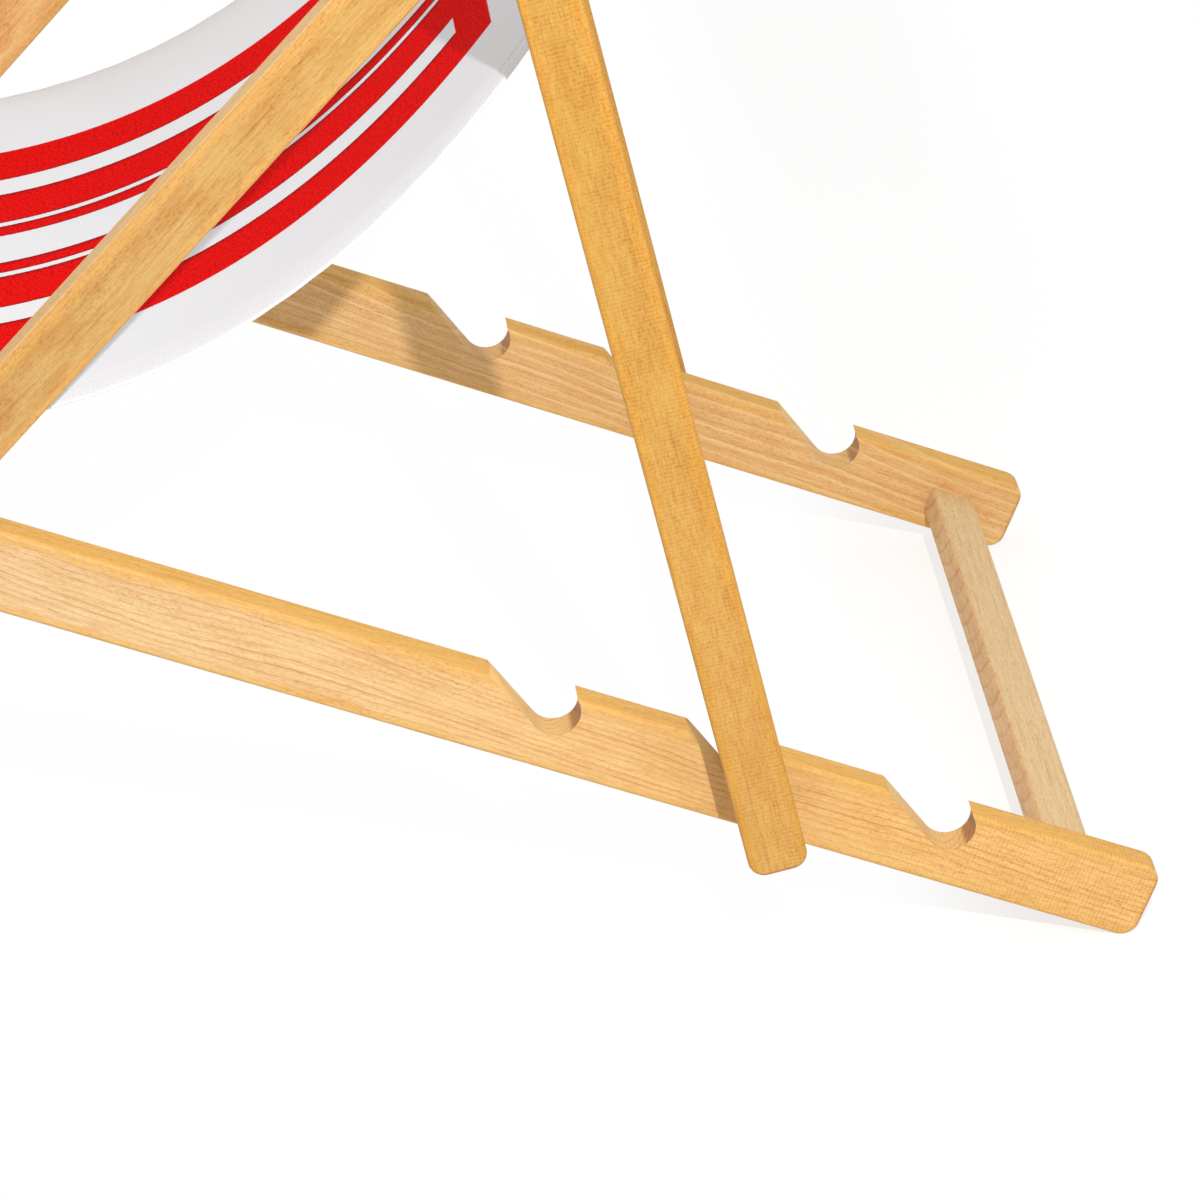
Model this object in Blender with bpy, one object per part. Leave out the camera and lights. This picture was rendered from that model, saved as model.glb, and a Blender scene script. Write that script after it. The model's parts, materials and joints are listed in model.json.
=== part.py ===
"""Folding deck chair: a seat frame inside a back frame inside a prop strut, with a canvas sling.

Metres, +Z up.  X runs across the chair, the sitter faces -Y, and the floor is Z = 0.
The seat frame and the back frame cross at the seat pivot.  The strut hangs from the
back frame, and its dowel rests in one of three notches in the seat rails.
"""

from math import acos, asin, atan2, cos, hypot, pi, radians, sin

import bmesh
import bpy
from mathutils import Vector

# Gap kept between two pieces that touch
GAP = 0.0003

# Seat frame: two notched rails, lengths measured from the seat pivot
SEAT_WIDTH = 0.486
SEAT_RAIL_THICK = 0.019
SEAT_RAIL_DEPTH = 0.045
SEAT_REAR_LENGTH = 0.7241
SEAT_FRONT_LENGTH = 0.298
SEAT_END_RADIUS = 0.010
FRONT_BAR_FROM_PIVOT = 0.280
REAR_BAR_FROM_END = 0.0417
REAR_BAR_BELOW_MIDDLE = 0.0034

# Notches: a drilled round seat with a sawn ramp in front and a hooked lip behind
NOTCH_COUNT = 3
NOTCH_IN_USE = 1
FIRST_NOTCH_FROM_PIVOT = 0.3726
NOTCH_PITCH = 0.1145
NOTCH_CLEARANCE = 0.001
LIP_ANGLE = radians(52.4)
LIP_EASING = 0.0006
RAMP_LENGTH = 0.0425

# Back frame
BACK_RAIL_THICK = 0.018
BACK_RAIL_DEPTH = 0.0345
BACK_TOP_LENGTH = 0.894
BACK_FOOT_LENGTH = 0.3626
TOP_BAR_FROM_PIVOT = 0.870
FOOT_BAR_FROM_PIVOT = 0.319

# Strut: two legs hung outside the back frame, joined by the dowel
STRUT_LEG_THICK = 0.018
STRUT_LEG_WIDTH = 0.032
BACK_PIVOT_TO_STRUT = 0.4938
STRUT_PIVOT_TO_DOWEL = 0.5464
STRUT_TOP_LENGTH = 0.018
STRUT_FOOT_LENGTH = 0.0406
DOWEL_RADIUS = 0.0125

# Timber details
LEG_END_RADIUS = 0.009
EDGE_ROUNDING = 0.0025
CROSSBAR_WIDTH = 0.0284
CROSSBAR_DEPTH = 0.0161
CROSSBAR_ROUNDING = 0.003
SLING_BAR_RADIUS = 0.013
TENON_WIDTH = 0.018
TENON_DEPTH = 0.010
TENON_ROUNDING = 0.0015
SOCKET_DEPTH = 0.012
BAR_END_CHAMFER = 0.001

# Pivot hardware, for an 8 mm bolt
BOLT_RADIUS = 0.004
HEAD_RADIUS = 0.010
HEAD_HEIGHT = 0.0042
FLUSH_HEAD_RADIUS = 0.008
FLUSH_HEAD_HEIGHT = 0.004
FLUSH_HEAD_RECESS = 0.0006
SPACER_RADIUS = 0.011
SPACER_THICK = 0.0015
WASHER_RADIUS = 0.009
WASHER_THICK = 0.0016
NUT_FLATS = 0.013
NUT_HEIGHT = 0.0065
NUT_CHAMFER = 0.0008
BOLT_END = 0.0015
CAP_NUT_WALL = 0.0025
CAP_NUT_HEXAGON_SHARE = 0.6
DOME_RIM_SHARE = 0.25

# Canvas sling
SLING_WIDTH = 0.428
SLING_THICK = 0.0012
SAG_FRONT_ANGLE = radians(-24.7)
SAG_BACK_ANGLE = radians(57.3)
SAG_FRONT_REACH = 0.596
SAG_BACK_REACH = 0.332
SLEEVE_SEAM = 0.048
SLEEVE_HEM = 0.014

# Fineness of the round forms
ROUND_STEPS = 24
DOWEL_STEPS = 40
CORNER_STEPS = 6
EDGE_STEPS = 3
BAR_CORNER_STEPS = 3
LIP_STEPS = 4
NOTCH_STEPS = 18
BOLT_DOME_STEPS = 5
NUT_DOME_STEPS = 7
SAG_STEPS = 56
SLEEVE_STEPS = 20

# How far a cutter runs on past the surface that it opens
CUT_BEYOND = 0.005

# Planes across the chair, from the middle outwards
SEAT_OUTER = SEAT_WIDTH / 2
SEAT_INNER = SEAT_OUTER - SEAT_RAIL_THICK
SIDE_SPACE = SPACER_THICK + 2 * GAP
BACK_INNER = SEAT_OUTER + SIDE_SPACE
BACK_OUTER = BACK_INNER + BACK_RAIL_THICK
STRUT_INNER = BACK_OUTER + SIDE_SPACE
STRUT_OUTER = STRUT_INNER + STRUT_LEG_THICK

# The triangle between seat pivot, dowel and strut pivot sets how far the chair opens
NOTCH_RADIUS = DOWEL_RADIUS + NOTCH_CLEARANCE
NOTCH_DEPTH = NOTCH_RADIUS * sin(LIP_ANGLE)
NOTCH_HEIGHT = SEAT_RAIL_DEPTH / 2 - NOTCH_DEPTH
NOTCH_AT = FIRST_NOTCH_FROM_PIVOT + NOTCH_IN_USE * NOTCH_PITCH
DOWEL_OFFSET = NOTCH_CLEARANCE - GAP
NOTCH_REACH = hypot(NOTCH_AT, NOTCH_HEIGHT)
STRUT_REACH = STRUT_PIVOT_TO_DOWEL - DOWEL_OFFSET


def angle_between(a, b, opposite):
    """Angle of a triangle between its sides a and b."""
    return acos((a * a + b * b - opposite * opposite) / (2 * a * b))


OPEN_ANGLE = angle_between(BACK_PIVOT_TO_STRUT, NOTCH_REACH, STRUT_REACH) + atan2(NOTCH_HEIGHT, NOTCH_AT)


def seat_slope():
    """Slope at which the seat rails' rear ends and the back rails' feet stand on one floor."""
    seat_y = SEAT_REAR_LENGTH - SEAT_END_RADIUS
    seat_z = SEAT_RAIL_DEPTH / 2 - SEAT_END_RADIUS
    foot_y = BACK_FOOT_LENGTH - LEG_END_RADIUS
    foot_z = BACK_RAIL_DEPTH / 2 - LEG_END_RADIUS
    a = seat_y + foot_y * cos(OPEN_ANGLE) - foot_z * sin(OPEN_ANGLE)
    b = seat_z - foot_y * sin(OPEN_ANGLE) - foot_z * cos(OPEN_ANGLE)
    c = LEG_END_RADIUS - SEAT_END_RADIUS
    return asin(c / hypot(a, b)) - atan2(b, a)


SEAT_SLOPE = seat_slope()
BACK_SLOPE = OPEN_ANGLE - SEAT_SLOPE
PIVOT_Y = -(SEAT_REAR_LENGTH - SEAT_FRONT_LENGTH) / 2 * cos(SEAT_SLOPE)
PIVOT_Z = (
    (SEAT_REAR_LENGTH - SEAT_END_RADIUS) * sin(SEAT_SLOPE)
    + (SEAT_RAIL_DEPTH / 2 - SEAT_END_RADIUS) * cos(SEAT_SLOPE)
    + SEAT_END_RADIUS
)


def clear_scene():
    for thing in list(bpy.data.objects):
        bpy.data.objects.remove(thing, do_unlink=True)


# Materials


def principled(name, colour, roughness, metallic=0.0):
    material = bpy.data.materials.new(name)
    material.use_nodes = True
    shader = material.node_tree.nodes["Principled BSDF"]
    shader.inputs["Base Color"].default_value = (*colour, 1.0)
    shader.inputs["Roughness"].default_value = roughness
    shader.inputs["Metallic"].default_value = metallic
    material.diffuse_color = (*colour, 1.0)
    return material


def timber(name):
    return principled(name + "_beech", (0.72, 0.44, 0.17), 0.5)


def steel(name):
    return principled(name + "_zinc_steel", (0.62, 0.62, 0.6), 0.35, 1.0)


def canvas(name):
    return principled(name + "_canvas", (0.72, 0.05, 0.04), 0.85)


# Placing and finishing


def add_object(name, mesh, parent, location, material):
    """Put a mesh in the scene under its parent and give it one material."""
    piece = bpy.data.objects.new(name, mesh)
    bpy.context.collection.objects.link(piece)
    piece.parent = parent
    piece.location = location
    if material is not None:
        mesh.materials.clear()
        mesh.materials.append(material)
    return piece


def add_axis(name, parent, location, slope):
    """An empty on a pivot.  Its Y runs along the timbers that turn about it."""
    axis = bpy.data.objects.new(name, None)
    bpy.context.collection.objects.link(axis)
    axis.parent = parent
    axis.location = location
    axis.rotation_euler = (slope, 0.0, 0.0)
    return axis


def round_edges(piece, width):
    """Ease every edge that turns by more than 60 degrees."""
    ease = piece.modifiers.new("eased_edges", "BEVEL")
    ease.width = width
    ease.segments = EDGE_STEPS
    ease.limit_method = "ANGLE"
    ease.angle_limit = radians(60)


def cut(name, pieces, cutters):
    """Take a group of cutters out of each piece, all in one cut."""
    group = bpy.data.collections.new(name)
    for cutter in cutters:
        group.objects.link(cutter)
    for piece in pieces:
        holes = piece.modifiers.new(name, "BOOLEAN")
        holes.operation = "DIFFERENCE"
        holes.solver = "EXACT"
        holes.operand_type = "COLLECTION"
        holes.collection = group


def make_cutter(name, loops, parent, y, z):
    """A hidden solid that cuts sockets and bores."""
    cutter = add_object(name, mesh_from_loops(name, loops), parent, (0.0, y, z), None)
    cutter.hide_render = True
    cutter.display_type = "WIRE"
    return cutter


# Outlines and loops


def arc(centre_y, centre_z, radius, start, end, steps):
    turn = (end - start) / steps
    return [
        (centre_y + radius * cos(start + i * turn), centre_z + radius * sin(start + i * turn))
        for i in range(steps + 1)
    ]


def rounded_bar_outline(y0, y1, half_depth, radius):
    """Side view of a timber from y0 to y1 with round corners, counter-clockwise."""
    outline = arc(y0 + radius, -half_depth + radius, radius, pi, 1.5 * pi, CORNER_STEPS)
    outline += arc(y1 - radius, -half_depth + radius, radius, 1.5 * pi, 2 * pi, CORNER_STEPS)
    outline += arc(y1 - radius, half_depth - radius, radius, 0.0, 0.5 * pi, CORNER_STEPS)
    outline += arc(y0 + radius, half_depth - radius, radius, 0.5 * pi, pi, CORNER_STEPS)
    return outline


def notch_outline():
    """Side view of what a notch takes away: hooked lip, round seat and ramp, about the seat's centre.

    The outline runs on above the rail's top, so that the cut opens it cleanly.
    """
    ramp_top = (-RAMP_LENGTH, NOTCH_DEPTH)
    ramp_fall = asin(NOTCH_RADIUS / hypot(*ramp_top)) + atan2(NOTCH_DEPTH, RAMP_LENGTH)
    lip_start = LIP_ANGLE - LIP_EASING / NOTCH_RADIUS
    seat = arc(0.0, 0.0, NOTCH_RADIUS, lip_start, -pi / 2 - ramp_fall, NOTCH_STEPS)
    lip_corner = (NOTCH_RADIUS * cos(LIP_ANGLE), NOTCH_DEPTH)
    lip_head = (lip_corner[0] + LIP_EASING, NOTCH_DEPTH)
    lip = curve_through_corner(lip_head, lip_corner, seat[0])
    above_lip = run_on(lip[1], lip_head)
    above_ramp = run_on(seat[-1], ramp_top)
    return [above_lip] + lip[:-1] + seat + [above_ramp, (above_lip[0], above_ramp[1])]


def run_on(start, end):
    """The point a little beyond end, on the line from start."""
    way = hypot(end[0] - start[0], end[1] - start[1])
    return tuple(e + (e - s) / way * CUT_BEYOND for s, e in zip(start, end))


def curve_through_corner(start, corner, end):
    """A small round from start to end, drawn towards the corner between them."""
    points = []
    for i in range(LIP_STEPS + 1):
        t = i / LIP_STEPS
        blend = ((1 - t) ** 2, 2 * t * (1 - t), t * t)
        points.append(tuple(sum(b * p[k] for b, p in zip(blend, (start, corner, end))) for k in (0, 1)))
    return points


def circle_loop(x, radius, steps=ROUND_STEPS):
    turn = 2 * pi / steps
    return [Vector((x, radius * cos(i * turn), radius * sin(i * turn))) for i in range(steps)]


def hexagon_loop(x, flats, largest_radius):
    """A hexagon across the given flats, its corners turned down to the largest radius."""
    loop = []
    for i in range(ROUND_STEPS):
        angle = 2 * pi * i / ROUND_STEPS
        off_flat = (angle + pi / 6) % (pi / 3) - pi / 6
        radius = min(flats / 2 / cos(off_flat), largest_radius)
        loop.append(Vector((x, radius * cos(angle), radius * sin(angle))))
    return loop


def box_loop(x, width, depth, rounding):
    """Section of a rectangular bar with rounded edges."""
    corners = []
    for quarter, (side_y, side_z) in enumerate(((1, 1), (-1, 1), (-1, -1), (1, -1))):
        centre_y = side_y * (width / 2 - rounding)
        centre_z = side_z * (depth / 2 - rounding)
        start = quarter * pi / 2
        corners += arc(centre_y, centre_z, rounding, start, start + pi / 2, BAR_CORNER_STEPS)
    return [Vector((x, y, z)) for y, z in corners]


def mesh_from_loops(name, loops, ring=False):
    """Skin a row of loops.  A ring joins the last loop to the first, otherwise both ends are capped."""
    work = bmesh.new()
    rows = [[work.verts.new(point) for point in loop] for loop in loops]
    pairs = list(zip(rows, rows[1:]))
    if ring:
        pairs.append((rows[-1], rows[0]))
    else:
        work.faces.new(rows[0])
        work.faces.new(rows[-1])
    for here, after in pairs:
        for i in range(len(here)):
            j = (i + 1) % len(here)
            work.faces.new((here[i], here[j], after[j], after[i]))
    bmesh.ops.recalc_face_normals(work, faces=work.faces)
    return finish_mesh(name, work)


def finish_mesh(name, work):
    mesh = bpy.data.meshes.new(name)
    work.to_mesh(mesh)
    work.free()
    mesh.shade_smooth()
    mesh.set_sharp_from_angle(angle=radians(35))
    return mesh


def timber_mesh(name, outline, thick):
    """A flat timber: its side view given a thickness across the chair."""
    loops = [[Vector((x, y, z)) for y, z in outline] for x in (-thick / 2, thick / 2)]
    return mesh_from_loops(name, loops)


# Timber pieces


def add_notch_cutters(parent):
    """One cutter for each pair of notches, across both seat rails."""
    half = SEAT_OUTER + CUT_BEYOND
    loops = [[Vector((x, y, z)) for y, z in notch_outline()] for x in (-half, half)]
    cutters = []
    for i in range(NOTCH_COUNT):
        notch_y = FIRST_NOTCH_FROM_PIVOT + i * NOTCH_PITCH
        cutters.append(make_cutter("notch_%d" % (i + 1), loops, parent, notch_y, NOTCH_HEIGHT))
    return cutters


def add_rail(name, outline, thick, inner, side, parent):
    """One timber of a pair, standing just outside the given inner plane."""
    mesh = timber_mesh(name, outline, thick)
    rail = add_object(name, mesh, parent, (side * (inner + thick / 2), 0.0, 0.0), timber(name))
    round_edges(rail, EDGE_ROUNDING)
    return rail


def crossbar_loops(inner):
    """A rectangular stretcher between two inner planes, with a tenon at each end."""
    shoulder = inner - GAP
    tenon_end = inner + SOCKET_DEPTH - GAP
    tenon = (TENON_WIDTH, TENON_DEPTH, TENON_ROUNDING)
    body = (CROSSBAR_WIDTH, CROSSBAR_DEPTH, CROSSBAR_ROUNDING)
    row = [(-tenon_end, tenon), (-shoulder, tenon), (-shoulder, body)]
    row += [(shoulder, body), (shoulder, tenon), (tenon_end, tenon)]
    return [box_loop(x, *section) for x, section in row]


def mortise_loops(inner):
    half = inner + SOCKET_DEPTH
    section = (TENON_WIDTH + 2 * GAP, TENON_DEPTH + 2 * GAP, TENON_ROUNDING + GAP)
    return [box_loop(-half, *section), box_loop(half, *section)]


def round_bar_loops(radius, inner):
    """A dowel let into blind sockets beyond two inner planes."""
    end = inner + SOCKET_DEPTH - GAP
    chamfer = BAR_END_CHAMFER
    row = [(-end, radius - chamfer), (-end + chamfer, radius)]
    row += [(end - chamfer, radius), (end, radius - chamfer)]
    return [circle_loop(x, r, DOWEL_STEPS) for x, r in row]


def socket_loops(radius, inner):
    half = inner + SOCKET_DEPTH
    facet_allowance = 1 / cos(pi / DOWEL_STEPS)
    bore = (radius + GAP) * facet_allowance
    return [circle_loop(-half, bore, DOWEL_STEPS), circle_loop(half, bore, DOWEL_STEPS)]


def bore_loops(radius, half):
    bore = (radius + GAP) / cos(pi / ROUND_STEPS)
    return [circle_loop(-half, bore), circle_loop(half, bore)]


def add_bar(name, loops, parent, y, z=0.0):
    return add_object(name, mesh_from_loops(name, loops), parent, (0.0, y, z), timber(name))


# Pivot hardware, drawn for the +X side and turned about for the other


def add_hardware(name, loops, parent, side, ring):
    mesh = mesh_from_loops(name, loops, ring)
    piece = add_object(name, mesh, parent, (0.0, 0.0, 0.0), steel(name))
    if side < 0:
        piece.rotation_euler = (0.0, 0.0, pi)
    return piece


def washer_loops(inner, thick, radius):
    bore = BOLT_RADIUS + GAP
    row = [(inner, radius), (inner + thick, radius), (inner + thick, bore), (inner, bore)]
    return [circle_loop(x, r) for x, r in row]


def dome_row(base, radius, height, steps):
    """Radii of a low dome that rises from base towards +X."""
    rim = height * DOME_RIM_SHARE
    row = [(base, radius), (base + rim, radius)]
    for i in range(1, steps):
        turn = i / steps * pi / 2
        row.append((base + rim + (height - rim) * sin(turn), radius * cos(turn)))
    return row


def pivot_bolt_loops():
    """Round-headed bolt: head outside the back rail, thread end inside the seat rail."""
    end = SEAT_INNER - GAP - WASHER_THICK - GAP - NUT_HEIGHT - BOLT_END
    head = BACK_OUTER + GAP
    row = [(end, BOLT_RADIUS - BAR_END_CHAMFER), (end + BAR_END_CHAMFER, BOLT_RADIUS), (head, BOLT_RADIUS)]
    row += dome_row(head, HEAD_RADIUS, HEAD_HEIGHT, BOLT_DOME_STEPS)
    return [circle_loop(x, r) for x, r in row]


def strut_bolt_loops():
    """Flat-headed bolt: head sunk in the back rail's inner face, thread end in the cap nut."""
    head = BACK_INNER + FLUSH_HEAD_RECESS
    neck = head + FLUSH_HEAD_HEIGHT
    end = STRUT_OUTER + GAP + WASHER_THICK + GAP + NUT_HEIGHT
    chamfer = BAR_END_CHAMFER
    row = [(head, FLUSH_HEAD_RADIUS - chamfer / 2), (head + chamfer / 2, FLUSH_HEAD_RADIUS)]
    row += [(neck, FLUSH_HEAD_RADIUS), (neck, BOLT_RADIUS)]
    row += [(end - chamfer, BOLT_RADIUS), (end, BOLT_RADIUS - chamfer)]
    return [circle_loop(x, r) for x, r in row]


def nut_loops(inner):
    """Hexagon nut between two planes, with turned corners."""
    corner = NUT_FLATS / 2 / cos(pi / 6)
    turned = corner - NUT_CHAMFER
    bore = BOLT_RADIUS + GAP
    outer = inner + NUT_HEIGHT
    return [
        hexagon_loop(inner, NUT_FLATS, turned),
        hexagon_loop(inner + NUT_CHAMFER, NUT_FLATS, corner),
        hexagon_loop(outer - NUT_CHAMFER, NUT_FLATS, corner),
        hexagon_loop(outer, NUT_FLATS, turned),
        circle_loop(outer, bore),
        circle_loop(inner, bore),
    ]


def cap_nut_loops(inner):
    """Domed nut: a blind bore, a hexagon and a round cap."""
    corner = NUT_FLATS / 2 / cos(pi / 6)
    bore = BOLT_RADIUS + GAP
    hexagon_end = inner + NUT_HEIGHT * CAP_NUT_HEXAGON_SHARE
    bore_end = inner + NUT_HEIGHT + GAP
    cap_radius = NUT_FLATS / 2 - NUT_CHAMFER
    cap_height = bore_end + CAP_NUT_WALL - hexagon_end
    loops = [
        circle_loop(bore_end, bore),
        circle_loop(inner, bore),
        hexagon_loop(inner, NUT_FLATS, corner - NUT_CHAMFER),
        hexagon_loop(inner + NUT_CHAMFER, NUT_FLATS, corner),
        hexagon_loop(hexagon_end, NUT_FLATS, corner),
    ]
    cap = dome_row(hexagon_end, cap_radius, cap_height, NUT_DOME_STEPS)
    return loops + [circle_loop(x, r) for x, r in cap]


def add_seat_pivot(name, side, parent):
    inner_washer = SEAT_INNER - GAP - WASHER_THICK
    nut = inner_washer - GAP - NUT_HEIGHT
    add_hardware("seat_pivot_bolt_" + name, pivot_bolt_loops(), parent, side, False)
    spacer_loops = washer_loops(SEAT_OUTER + GAP, SPACER_THICK, SPACER_RADIUS)
    add_hardware("seat_pivot_spacer_" + name, spacer_loops, parent, side, True)
    end_loops = washer_loops(inner_washer, WASHER_THICK, WASHER_RADIUS)
    add_hardware("seat_pivot_washer_" + name, end_loops, parent, side, True)
    add_hardware("seat_pivot_nut_" + name, nut_loops(nut), parent, side, True)


def add_strut_pivot(name, side, parent):
    washer = STRUT_OUTER + GAP
    nut = washer + WASHER_THICK + GAP
    add_hardware("strut_pivot_bolt_" + name, strut_bolt_loops(), parent, side, False)
    spacer_loops = washer_loops(BACK_OUTER + GAP, SPACER_THICK, SPACER_RADIUS)
    add_hardware("strut_pivot_spacer_" + name, spacer_loops, parent, side, True)
    end_loops = washer_loops(washer, WASHER_THICK, WASHER_RADIUS)
    add_hardware("strut_pivot_washer_" + name, end_loops, parent, side, True)
    add_hardware("strut_pivot_cap_nut_" + name, cap_nut_loops(nut), parent, side, False)


# Sling


def toward(angle):
    return Vector((cos(angle), sin(angle)))


def sag_curve(front_bar, top_bar, wrap):
    """The hanging canvas between its two bars, in side view, as one Bezier curve."""
    start = front_bar + wrap * toward(SAG_FRONT_ANGLE + pi / 2)
    end = top_bar + wrap * toward(SAG_BACK_ANGLE + pi / 2)
    pull_in = start + SAG_FRONT_REACH * toward(SAG_FRONT_ANGLE)
    pull_out = end - SAG_BACK_REACH * toward(SAG_BACK_ANGLE)
    points = []
    for i in range(SAG_STEPS + 1):
        t = i / SAG_STEPS
        u = 1 - t
        points.append(u**3 * start + 3 * u * u * t * pull_in + 3 * u * t * t * pull_out + t**3 * end)
    return points


def point_along(points, distance):
    """The place and direction a given way along a row of points."""
    for here, after in zip(points, points[1:]):
        step = (after - here).length
        if distance <= step:
            return here + (after - here) * (distance / step), (after - here).normalized()
        distance -= step
    return points[-1], (points[-1] - points[-2]).normalized()


def sleeve(bar, sheet, wrap, turn):
    """Canvas that leaves the sheet, goes round a bar and is sewn to the sheet's back.

    The sheet's points start at the bar.  The wrap runs counter-clockwise for a turn of 1
    and clockwise for -1, and the sheet's back is then on its right or on its left.
    """
    seam, along = point_along(sheet, SLEEVE_SEAM)
    hem, hem_along = point_along(sheet, SLEEVE_SEAM + SLEEVE_HEM)
    back_step = SLING_THICK + GAP
    seam = seam + back_step * turn * Vector((along.y, -along.x))
    hem = hem + back_step * turn * Vector((hem_along.y, -hem_along.x))
    from_bar = seam - bar
    start = atan2(*(sheet[0] - bar).yx)
    end = atan2(*from_bar.yx) - turn * acos(wrap / from_bar.length)
    sweep = (end - start) * turn % (2 * pi)
    turn_step = turn * sweep / SLEEVE_STEPS
    around = [bar + wrap * toward(start + i * turn_step) for i in range(1, SLEEVE_STEPS + 1)]
    return around + [seam, hem]


def sling_path():
    """Middle line of the canvas in side view, from the front hem to the top hem."""
    wrap = SLING_BAR_RADIUS + GAP + SLING_THICK / 2
    pivot = Vector((PIVOT_Y, PIVOT_Z))
    front_bar = pivot - FRONT_BAR_FROM_PIVOT * toward(-SEAT_SLOPE)
    top_bar = pivot + TOP_BAR_FROM_PIVOT * toward(BACK_SLOPE)
    sheet = sag_curve(front_bar, top_bar, wrap)
    front = sleeve(front_bar, sheet, wrap, 1)
    top = sleeve(top_bar, sheet[::-1], wrap, -1)
    return front[::-1] + sheet + top


def add_sling():
    """Canvas of even thickness along its path, as one closed solid."""
    path = sling_path()
    half = SLING_WIDTH / 2
    loops = []
    for i, point in enumerate(path):
        before = path[max(i - 1, 0)]
        after = path[min(i + 1, len(path) - 1)]
        along = (after - before).normalized()
        side = Vector((-along.y, along.x)) * (SLING_THICK / 2)
        upper = point + side
        lower = point - side
        loops.append([
            Vector((-half, upper.x, upper.y)),
            Vector((half, upper.x, upper.y)),
            Vector((half, lower.x, lower.y)),
            Vector((-half, lower.x, lower.y)),
        ])
    return add_object("sling", mesh_from_loops("sling", loops), None, (0.0, 0.0, 0.0), canvas("sling"))


# The chair


def add_seat_frame(axis, bores):
    half_depth = SEAT_RAIL_DEPTH / 2
    outline = rounded_bar_outline(-SEAT_FRONT_LENGTH, SEAT_REAR_LENGTH, half_depth, SEAT_END_RADIUS)
    left = add_rail("seat_rail_left", outline, SEAT_RAIL_THICK, SEAT_INNER, 1, axis)
    right = add_rail("seat_rail_right", outline, SEAT_RAIL_THICK, SEAT_INNER, -1, axis)
    rear_y = SEAT_REAR_LENGTH - REAR_BAR_FROM_END
    rear_z = -REAR_BAR_BELOW_MIDDLE
    add_bar("seat_rear_crossbar", crossbar_loops(SEAT_INNER), axis, rear_y, rear_z)
    add_bar("seat_front_bar", round_bar_loops(SLING_BAR_RADIUS, SEAT_INNER), axis, -FRONT_BAR_FROM_PIVOT)
    mortise = make_cutter("rear_mortise", mortise_loops(SEAT_INNER), axis, rear_y, rear_z)
    bar_sockets = socket_loops(SLING_BAR_RADIUS, SEAT_INNER)
    socket = make_cutter("front_socket", bar_sockets, axis, -FRONT_BAR_FROM_PIVOT, 0.0)
    cut("seat_rail_cuts", (left, right), bores + [mortise, socket] + add_notch_cutters(axis))


def add_back_frame(axis, bores):
    half_depth = BACK_RAIL_DEPTH / 2
    outline = rounded_bar_outline(-BACK_FOOT_LENGTH, BACK_TOP_LENGTH, half_depth, LEG_END_RADIUS)
    left = add_rail("back_rail_left", outline, BACK_RAIL_THICK, BACK_INNER, 1, axis)
    right = add_rail("back_rail_right", outline, BACK_RAIL_THICK, BACK_INNER, -1, axis)
    add_bar("back_top_bar", round_bar_loops(SLING_BAR_RADIUS, BACK_INNER), axis, TOP_BAR_FROM_PIVOT)
    add_bar("back_foot_crossbar", crossbar_loops(BACK_INNER), axis, -FOOT_BAR_FROM_PIVOT)
    bar_sockets = socket_loops(SLING_BAR_RADIUS, BACK_INNER)
    socket = make_cutter("top_socket", bar_sockets, axis, TOP_BAR_FROM_PIVOT, 0.0)
    mortise = make_cutter("foot_mortise", mortise_loops(BACK_INNER), axis, -FOOT_BAR_FROM_PIVOT, 0.0)
    sink_half = BACK_INNER + FLUSH_HEAD_RECESS + FLUSH_HEAD_HEIGHT + GAP
    sink_loops = bore_loops(FLUSH_HEAD_RADIUS, sink_half)
    sink = make_cutter("bolt_sink", sink_loops, axis, BACK_PIVOT_TO_STRUT, 0.0)
    cut("back_rail_cuts", (left, right), bores + [sink, socket, mortise])


def add_strut(axis, bores):
    foot = STRUT_PIVOT_TO_DOWEL + STRUT_FOOT_LENGTH
    half_width = STRUT_LEG_WIDTH / 2
    outline = rounded_bar_outline(-STRUT_TOP_LENGTH, foot, half_width, LEG_END_RADIUS)
    left = add_rail("strut_leg_left", outline, STRUT_LEG_THICK, STRUT_INNER, 1, axis)
    right = add_rail("strut_leg_right", outline, STRUT_LEG_THICK, STRUT_INNER, -1, axis)
    add_bar("strut_dowel", round_bar_loops(DOWEL_RADIUS, STRUT_INNER), axis, STRUT_PIVOT_TO_DOWEL)
    dowel_sockets = socket_loops(DOWEL_RADIUS, STRUT_INNER)
    socket = make_cutter("dowel_socket", dowel_sockets, axis, STRUT_PIVOT_TO_DOWEL, 0.0)
    cut("strut_leg_cuts", (left, right), bores + [socket])


def strut_slope():
    """Direction of the strut, from its pivot to the dowel, against the back rails."""
    at_pivot = angle_between(BACK_PIVOT_TO_STRUT, STRUT_REACH, NOTCH_REACH)
    return at_pivot - pi


def build_chair():
    clear_scene()
    seat_axis = add_axis("seat_axis", None, (0.0, PIVOT_Y, PIVOT_Z), -SEAT_SLOPE)
    back_axis = add_axis("back_axis", None, (0.0, PIVOT_Y, PIVOT_Z), BACK_SLOPE)
    strut_axis = add_axis("strut_axis", back_axis, (0.0, BACK_PIVOT_TO_STRUT, 0.0), strut_slope())
    past_the_legs = STRUT_OUTER + STRUT_LEG_THICK
    bores = bore_loops(BOLT_RADIUS, past_the_legs)
    seat_bore = make_cutter("seat_pivot_bore", bores, seat_axis, 0.0, 0.0)
    strut_bore = make_cutter("strut_pivot_bore", bores, strut_axis, 0.0, 0.0)
    add_seat_frame(seat_axis, [seat_bore])
    add_back_frame(back_axis, [seat_bore, strut_bore])
    add_strut(strut_axis, [strut_bore])
    for name, side in (("left", 1), ("right", -1)):
        add_seat_pivot(name, side, seat_axis)
        add_strut_pivot(name, side, strut_axis)
    add_sling()


build_chair()
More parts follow.
